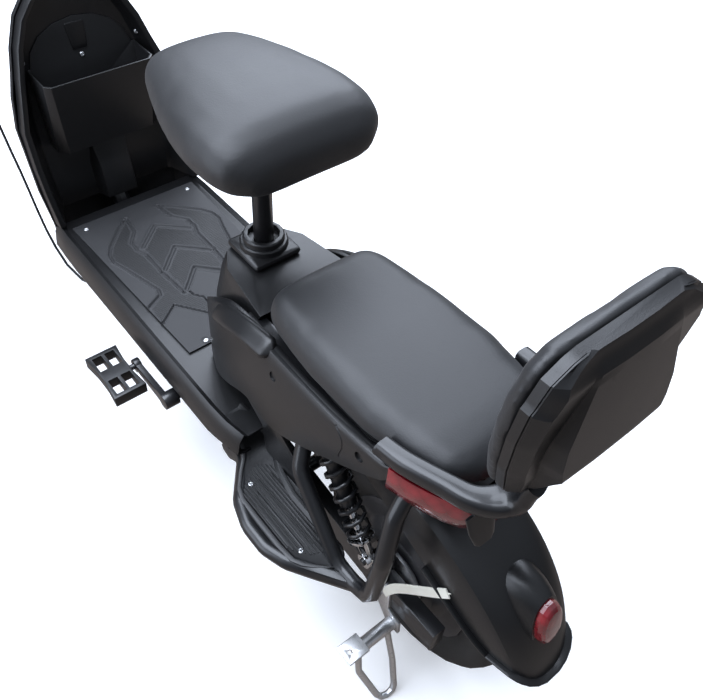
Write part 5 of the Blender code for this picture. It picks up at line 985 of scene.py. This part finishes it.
# Crown of its section, as shares of the half width with their drops
FENDER_CROWN = ((0.86, 0.0085), (0.70, 0.0040), (0.48, 0.0012), (0.22, 0.0001))
FENDER_WALL = 0.0022
INNER_SHARE = 1 - FENDER_WALL / 0.06      # width of the inner skin as a share of the outer one
FENDER_SWEEP, SWEEP_START = 8.0, 0.80
LIP_PROUD, LIP_BEHIND, LIP_SECTION = 0.0030, 0.6, (0.0060, 0.0022, 3.0)
LAMP_ANGLE, LAMP_RADIUS, LAMP_LEAN, LAMP_LIFT = 142.5, 0.2715, 12.0, 0.002
# Hood sections: distance ahead of the lamp's seat, half width, half height, lift
HOOD = ((0.095, 0.0330, 0.040, 0.010), (0.070, 0.0350, 0.050, 0.012), (0.045, 0.0345, 0.053, 0.011),
        (0.024, 0.0310, 0.051, 0.008), (0.010, 0.0272, 0.0475, 0.005), (0.003, 0.0245, 0.0445, 0.003),
        (0.0, 0.0235, 0.0430, 0.002))
# Glass sections: distance behind the lamp's seat and share of the full size
GLASS = ((-0.002, 1.0), (0.006, 1.0), (0.0115, 0.93), (0.0150, 0.78), (0.0165, 0.52), (0.0170, 0.2))
GLASS_SECTION = (0.0205, 0.0395, 2.3, 14)


def on_wheel(angle, radius, y):
    """Point at that angle and distance round the rear axle."""
    turn = math.radians(angle)
    return ahead(radius * math.cos(turn), y, AXLE_Z + radius * math.sin(turn))


def arch(share, start, power=1.0):
    """Rise and fall of half a sine wave between a start and the end."""
    return math.sin(math.pi * min(1.0, max(0.0, (share - start) / (1 - start))) ** power)


def fender_station(step):
    """Angle, outer radius, half width, sweep of the edges, and (y, drop) from the edge to the crown."""
    share = step / FENDER_STEPS
    angle = FENDER_START + (FENDER_END - FENDER_START) * share
    full = share * (FENDER_END - FENDER_START) / FENDER_FULL
    reach = FENDER_RADIUS + FENDER_REACH * min(1.0, full * REACH_RATE)
    width = FENDER_HALF + HALF_SWELL * arch(full, HALF_START, HALF_POWER)
    side = SIDE_DROP + SIDE_SWELL * arch(full, SIDE_START)
    line = [(width, side), (width, side * 0.6 + 0.006), (width - 0.0004, 0.020), (width - 0.0035, 0.0125),
            *((part * width, drop) for part, drop in FENDER_CROWN)]
    sweep = FENDER_SWEEP * max(0.0, (share - SWEEP_START) / (1 - SWEEP_START)) ** 2
    return angle, reach, width, sweep, line


def fender_guard():
    """The fender's skin inside and out, with the lip round its rear end."""
    rings = []
    for step in range(FENDER_STEPS + 1):
        angle, reach, width, sweep, line = fender_station(step)
        outer = [(angle - sweep * (y / width) ** 2, reach - drop, y) for y, drop in line]
        whole = [*outer, *((turn, radius, -y) for turn, radius, y in reversed(outer))]
        inner = [(turn, radius - FENDER_WALL, y * INNER_SHARE) for turn, radius, y in reversed(whole)]
        rings.append([on_wheel(*place) for place in whole + inner])
    bm = joined_rings(rings)
    swept(fender_lip(), rounded_section(*LIP_SECTION), bm=bm)
    finished_piece("lipped_rear_fender", bm, 26.0, body="swing", stands_for="rear_fender")


def fender_lip():
    """Line round the fender's rear end, from one lower edge to the other."""
    half = []
    for step in range(LIP_FIRST_STEP, FENDER_STEPS + 1):
        angle, reach, width, sweep, line = fender_station(step)
        half.append(on_wheel(angle - sweep, reach - line[0][1] + 0.001, width + LIP_PROUD))
    # From the last station round its own section to the crown
    for y, drop in line[1:]:
        lean = angle - sweep * (y / width) ** 2
        half.append(on_wheel(lean + LIP_BEHIND, reach - drop + LIP_PROUD, y + 0.002 * y / width))
    return half + [Vector((p.x, -p.y, p.z)) for p in reversed(half)]


def fender_lamp():
    """Hood on the fender and the glass at its rear end."""
    lean = math.radians(LAMP_LEAN)
    out = Vector((-math.cos(lean), 0, math.sin(lean)))
    up = Vector((math.sin(lean), 0, math.cos(lean)))
    seat = on_wheel(LAMP_ANGLE, LAMP_RADIUS, 0.0)
    hood = [[seat - out * fore + Vector((0, a, 0)) + up * (b + lift)
             for a, b in rounded_section(wide, tall, 2.4, 32)] for fore, wide, tall, lift in HOOD]
    finished_piece("lamp_hood", joined_rings(hood), 40.0, body="swing")
    outline = rounded_section(*GLASS_SECTION)
    glass = [[seat + out * back + up * LAMP_LIFT + Vector((0, a * share, 0)) + up * (b * share)
              for a, b in outline] for back, share in GLASS]
    finished_piece("faceted_fender_lamp", joined_rings(glass), 9.0, "red_lens", body="swing",
                   stands_for="fender_lamp", edge=0.0006)


class MOPED_OT_fender(Operator):
    """Make the rear fender with its crease and its flared lip, the lamp's hood and the lamp"""
    bl_idname = "moped.fender"
    bl_label = "Rear fender"

    def execute(self, context):
        fender_guard()
        fender_lamp()
        return {"FINISHED"}


# Trim

CAP_LINE = ((0.374, 0.0985, 0.496), (0.352, 0.1050, 0.510), (0.320, 0.1090, 0.525),
            (0.280, 0.1105, 0.5385), (0.245, 0.1100, 0.5435), (0.222, 0.1090, 0.5450))
CAP_FRONT_TAPER, CAP_REAR_TAPER = (0.35, 0.75, 0.92), (0.95, 0.8, 0.4)
GAP_LINE = ((0.312, 0.0820, 0.5270), (0.262, 0.0860, 0.5345), (0.205, 0.0905, 0.5360),
            (0.090, 0.0975, 0.5430), (0.000, 0.1000, 0.5560), (-0.030, 0.0980, 0.5620))
STAY_LINE = ((-0.018, 0.0845, 0.207), (-0.040, 0.0845, 0.258), (-0.092, 0.0750, 0.322),
             (-0.112, 0.0697, 0.346))
CAP_SECTION = (0.0165, 0.0085, 3.0)
GAP_SECTION = (0.0120, 0.0022, 5.0)
STAY_SECTION = (0.0075, 0.0012, 5.0)

# Footrest pad stations: distance ahead, inner y, outer y, height of the top
FOOTREST_STATIONS = (
    (0.316, 0.104, 0.1500, 0.3335), (0.300, 0.098, 0.1490, 0.3240), (0.284, 0.090, 0.1440, 0.3080),
    (0.270, 0.086, 0.1430, 0.2960), (0.256, 0.084, 0.1520, 0.2880), (0.240, 0.093, 0.1680, 0.2850),
    (0.219, 0.103, 0.1850, 0.2842), (0.200, 0.109, 0.1915, 0.2840), (0.1585, 0.117, 0.1925, 0.2840),
    (0.101, 0.1175, 0.1925, 0.2840), (0.075, 0.1165, 0.1900, 0.2840), (0.060, 0.116, 0.1820, 0.2840),
    (0.047, 0.1165, 0.1700, 0.2840), (0.036, 0.121, 0.1570, 0.2840), (0.028, 0.129, 0.1450, 0.2840))
FOOTREST_DEPTH, BORDER_HEIGHT = 0.009, 0.0055
RIB_COUNT, RIB_FIRST_Y, RIB_PITCH = 13, 0.1180, 0.0052
RIB_SECTION = ((-0.0014, 0.2830), (-0.0009, 0.2862), (0.0009, 0.2862), (0.0014, 0.2830))
# Where the ribs end at the pad's borders, by y
RIB_REARS = ((0.118, 0.160), (0.124, 0.117), (0.130, 0.072), (0.138, 0.056), (0.160, 0.066), (0.182, 0.096))
RIB_FRONTS = ((0.118, 0.226), (0.135, 0.238), (0.155, 0.232), (0.182, 0.206))

POST_X = 0.397
# Boot round the post, and one fold of it as (radius, rise)
BOOT_BORE, BOOT_LOW, BOOT_HIGH = 0.0150, 0.655, 0.7165
BOOT_FOLDS, BOOT_FOLD_HEIGHT, BOOT_FOLD_Z = 5, 0.0115, 0.660
BOOT_FOLD = ((0.0215, 0.0), (0.0225, 0.0035), (0.0172, 0.0075))
# Pocket rib sections: distance ahead, half width, height
POCKET_RIB = ((0.9655, 0.015, 0.6135), (0.9668, 0.0165, 0.622), (0.9728, 0.0200, 0.657),
              (0.9732, 0.019, 0.6590))


def cover_caps():
    """Bars along the covers' shoulders, tapered to both ends."""
    line = line_through(CAP_LINE, 5)
    middle = [1.0] * (len(line) - len(CAP_FRONT_TAPER) - len(CAP_REAR_TAPER))
    scales = [(share, share) for share in (*CAP_FRONT_TAPER, *middle, *CAP_REAR_TAPER)]
    bm = swept(line, rounded_section(*CAP_SECTION), (0, 0.75, 1), scales)
    finished_piece("cover_caps", mirror_over(bm), 40.0)


def footrest_tops():
    """Footrest pads with their raised inner border, up to the floor pan's skirt."""
    rings = []
    for fore, inner, outer, z in FOOTREST_STATIONS:
        wide = min(1.0, (outer - inner) / 0.050)
        border = z + BORDER_HEIGHT * wide
        section = ((inner, z - FOOTREST_DEPTH), (inner, border), (inner + 0.0015, border + 0.001),
                   (inner + 0.0070 * wide, border + 0.001), (inner + 0.0120 * wide, z + 0.0006),
                   (outer - 0.0110 * wide, z + 0.0006), (outer - 0.0085 * wide, z + 0.0026),
                   (outer - 0.002, z + 0.0022), (outer, z), (outer, z - FOOTREST_DEPTH))
        rings.append([ahead(fore, y, height) for y, height in section])
    finished_piece("footrest_tops", mirror_over(joined_rings(rings)), 34.0, edge=0.0005)


def footrest_ribs():
    """Ribs along the footrests, ended at the pad's borders."""
    bm = bmesh.new()
    for i in range(RIB_COUNT):
        y = RIB_FIRST_Y + RIB_PITCH * i
        ends = between(y, *RIB_REARS), between(y, *RIB_FRONTS)
        joined_rings([[ahead(fore, y + a, z) for a, z in RIB_SECTION] for fore in ends], bm)
    finished_piece("footrest_ribs", mirror_over(bm), 30.0)


def post_boot():
    """Folded boot on the post under the saddle."""
    profile = [(BOOT_BORE, BOOT_LOW), (BOOT_FOLD[0][0], BOOT_LOW + 0.002)]
    for fold in range(BOOT_FOLDS):
        z = BOOT_FOLD_Z + BOOT_FOLD_HEIGHT * fold
        profile += [(radius, z + rise) for radius, rise in BOOT_FOLD]
    profile += [(BOOT_BORE, BOOT_HIGH)]
    bm = bmesh.new()
    verts = [bm.verts.new((radius, 0.0, z)) for radius, z in profile]
    edges = [bm.edges.new(pair) for pair in zip(verts, verts[1:] + verts[:1])]
    bmesh.ops.spin(bm, geom=verts + edges, cent=(0, 0, 0), axis=(0, 0, 1), dvec=(0, 0, 0), angle=2 * math.pi,
                   steps=36, use_merge=True, use_duplicate=False)
    bmesh.ops.remove_doubles(bm, verts=bm.verts, dist=0.00001)
    bmesh.ops.recalc_face_normals(bm, faces=bm.faces)
    bmesh.ops.translate(bm, verts=bm.verts, vec=ahead(POST_X, 0.0, 0.0))
    finished_piece("post_boot", bm, 50.0, "rubber", body="saddle")


def pocket_rib():
    """Upright rib in the middle of the pocket's face."""
    rings = [[ahead(fore + depth, y, z) for depth, y in
              ((0.004, -half), (-0.0022, -half + 0.003), (-0.0022, half - 0.003), (0.004, half))]
             for fore, half, z in POCKET_RIB]
    finished_piece("pocket_rib", joined_rings(rings), 30.0, edge=0.001)


class MOPED_OT_trim(Operator):
    """Add the cover caps, gap strips, footrest tops and ribs, stay strips, the boot and the pocket's rib"""
    bl_idname = "moped.trim"
    bl_label = "Trim"

    def execute(self, context):
        cover_caps()
        gap = swept(line_through(GAP_LINE, 6), rounded_section(*GAP_SECTION))
        finished_piece("gap_strips", mirror_over(gap), 40.0, "gloss_black")
        footrest_tops()
        footrest_ribs()
        stay = swept(line_through(STAY_LINE, 4), rounded_section(*STAY_SECTION), (0, 1, 0.2))
        finished_piece("stay_strips", mirror_over(stay), 40.0, "cream_paint", body="swing")
        post_boot()
        pocket_rib()
        return {"FINISHED"}


# Studio lights, each with its place, its aim, its side in metres and its power in watts

LIGHTS = (("overhead", (0.45, 0.75, 2.9), (0.0, 0.0, 0.3), 2.3, 135.0),
          ("window", (0.7, 2.8, 1.25), (-0.2, 0.0, 0.4), 2.4, 62.0),
          ("far_side", (1.5, -1.7, 2.6), (-0.2, 0.0, 0.4), 2.6, 125.0))
FLOOR_HALF, FLOOR_Z = 9.0, -0.0005
FLOOR_GLOW = 0.2
WHITE = (1.0, 1.0, 1.0)


def add_camera(scene, studio):
    """Camera set by its place and its three angles."""
    yaw, pitch, roll = studio.camera_yaw, studio.camera_pitch, studio.camera_roll
    sight = Vector((math.cos(yaw) * math.cos(pitch), math.sin(yaw) * math.cos(pitch), -math.sin(pitch)))
    right = sight.cross(Vector((0, 0, 1))).normalized()
    over = right.cross(sight)
    side = right * math.cos(roll) + over * math.sin(roll)
    top = over * math.cos(roll) - right * math.sin(roll)
    data = bpy.data.cameras.new("camera")
    data.sensor_width = 36.0
    data.sensor_fit = "HORIZONTAL"
    data.lens = studio.lens
    data.clip_start = 0.01
    camera = bpy.data.objects.new("camera", data)
    scene.collection.objects.link(camera)
    turn = Matrix((side, top, -sight)).transposed().to_4x4()
    camera.matrix_world = Matrix.Translation(studio.camera_place) @ turn
    scene.camera = camera


def add_floor(studio):
    """Floor that the camera sees pale and the moped sees dull."""
    finish = Finish("studio_floor", Emission_Strength=FLOOR_GLOW, Roughness=0.9, Specular_IOR_Level=0.1)
    seen = finish.node("LightPath", output="Is Camera Ray")
    tint = finish.mixed(seen, studio.bounce, studio.floor)
    FINISHES["studio_floor"] = finish.wear(Base_Color=tint, Emission_Color=seen)
    bm = bmesh.new()
    bmesh.ops.create_grid(bm, x_segments=2, y_segments=2, size=FLOOR_HALF)
    bmesh.ops.translate(bm, verts=bm.verts, vec=(0, 0, FLOOR_Z))
    new_object("studio_floor", bm, "studio_floor")


def add_lights(scene, studio):
    """Soft square lights, each turned to its aim."""
    for name, place, aim, size, power in LIGHTS:
        data = bpy.data.lights.new(name, "AREA")
        data.shape = "SQUARE"
        data.size = size
        data.energy = power
        data.color = studio.sky
        lamp = bpy.data.objects.new(name, data)
        scene.collection.objects.link(lamp)
        sight = Vector(aim) - Vector(place)
        lamp.matrix_world = Matrix.Translation(place) @ sight.to_track_quat("-Z", "Y").to_matrix().to_4x4()


def add_world(scene, studio):
    """White where the camera sees it, and a sky that grows brighter upwards on the moped."""
    world = bpy.data.worlds.new("studio_world")
    world.use_nodes = True
    sky = Nodes(world.node_tree)
    rays = [sky.node("LightPath", output=kind) for kind in ("Is Camera Ray", "Is Transmission Ray")]
    seen = sky.node("Math", {"operation": "MAXIMUM"}, dict(enumerate(rays)))
    height = sky.node("SeparateXYZ", None, {0: sky.node("TexCoord", output="Generated")}, "Z")
    painted_prism_glint = sky.node("MapRange", None, {"Value": height, "From Min": -0.05, "From Max": 0.75,
                                       "To Min": 0.10, "To Max": 0.60})
    strength = sky.node("Mix", {"data_type": "FLOAT"}, {0: seen, 2: painted_prism_glint, 3: 1.0})
    background = world.node_tree.nodes["Background"]
    sky.feed(background.inputs["Color"], sky.mixed(seen, studio.sky, WHITE))
    sky.feed(background.inputs["Strength"], strength)
    scene.world = world


class MOPED_OT_studio(Operator):
    """Set the pale floor, the soft lights and the camera"""
    bl_idname = "moped.studio"
    bl_label = "Studio"

    def execute(self, context):
        studio = context.scene.moped_studio
        add_camera(context.scene, studio)
        add_floor(studio)
        add_lights(context.scene, studio)
        add_world(context.scene, studio)
        context.scene.view_settings.view_transform = "Standard"
        return {"FINISHED"}


class MOPED_PT_panel(Panel):
    """Sizes, colours and makers of the moped's pieces"""
    bl_idname = "MOPED_PT_panel"
    bl_label = "Electric moped"
    bl_space_type = "VIEW_3D"
    bl_region_type = "UI"
    bl_category = "Moped"

    def draw(self, context):
        for name in GROUPS:
            group = getattr(context.scene, name)
            box = self.layout.box()
            for label in group.bl_rna.properties.keys():
                if label not in ("rna_type", "name"):
                    box.prop(group, label)
        for operator in OPERATORS:
            self.layout.operator(operator.bl_idname)


GROUPS = {"moped_colours": MopedColours, "moped_upholstery": MopedUpholstery, "moped_studio": MopedStudio}
OPERATORS = (MOPED_OT_finish_solids, MOPED_OT_padding, MOPED_OT_covers, MOPED_OT_mat, MOPED_OT_backrest,
             MOPED_OT_rail, MOPED_OT_fender, MOPED_OT_trim, MOPED_OT_screws, MOPED_OT_studio)
CLASSES = (*GROUPS.values(), *OPERATORS, MOPED_PT_panel)


def register():
    for made in CLASSES:
        bpy.utils.register_class(made)
    for label, group in GROUPS.items():
        setattr(bpy.types.Scene, label, bpy.props.PointerProperty(type=group))


def unregister():
    for label in GROUPS:
        delattr(bpy.types.Scene, label)
    for made in reversed(CLASSES):
        bpy.utils.unregister_class(made)


def main():
    register()
    for operator in OPERATORS:
        group, name = operator.bl_idname.split(".")
        getattr(getattr(bpy.ops, group), name)()


if __name__ == "__main__":
    main()
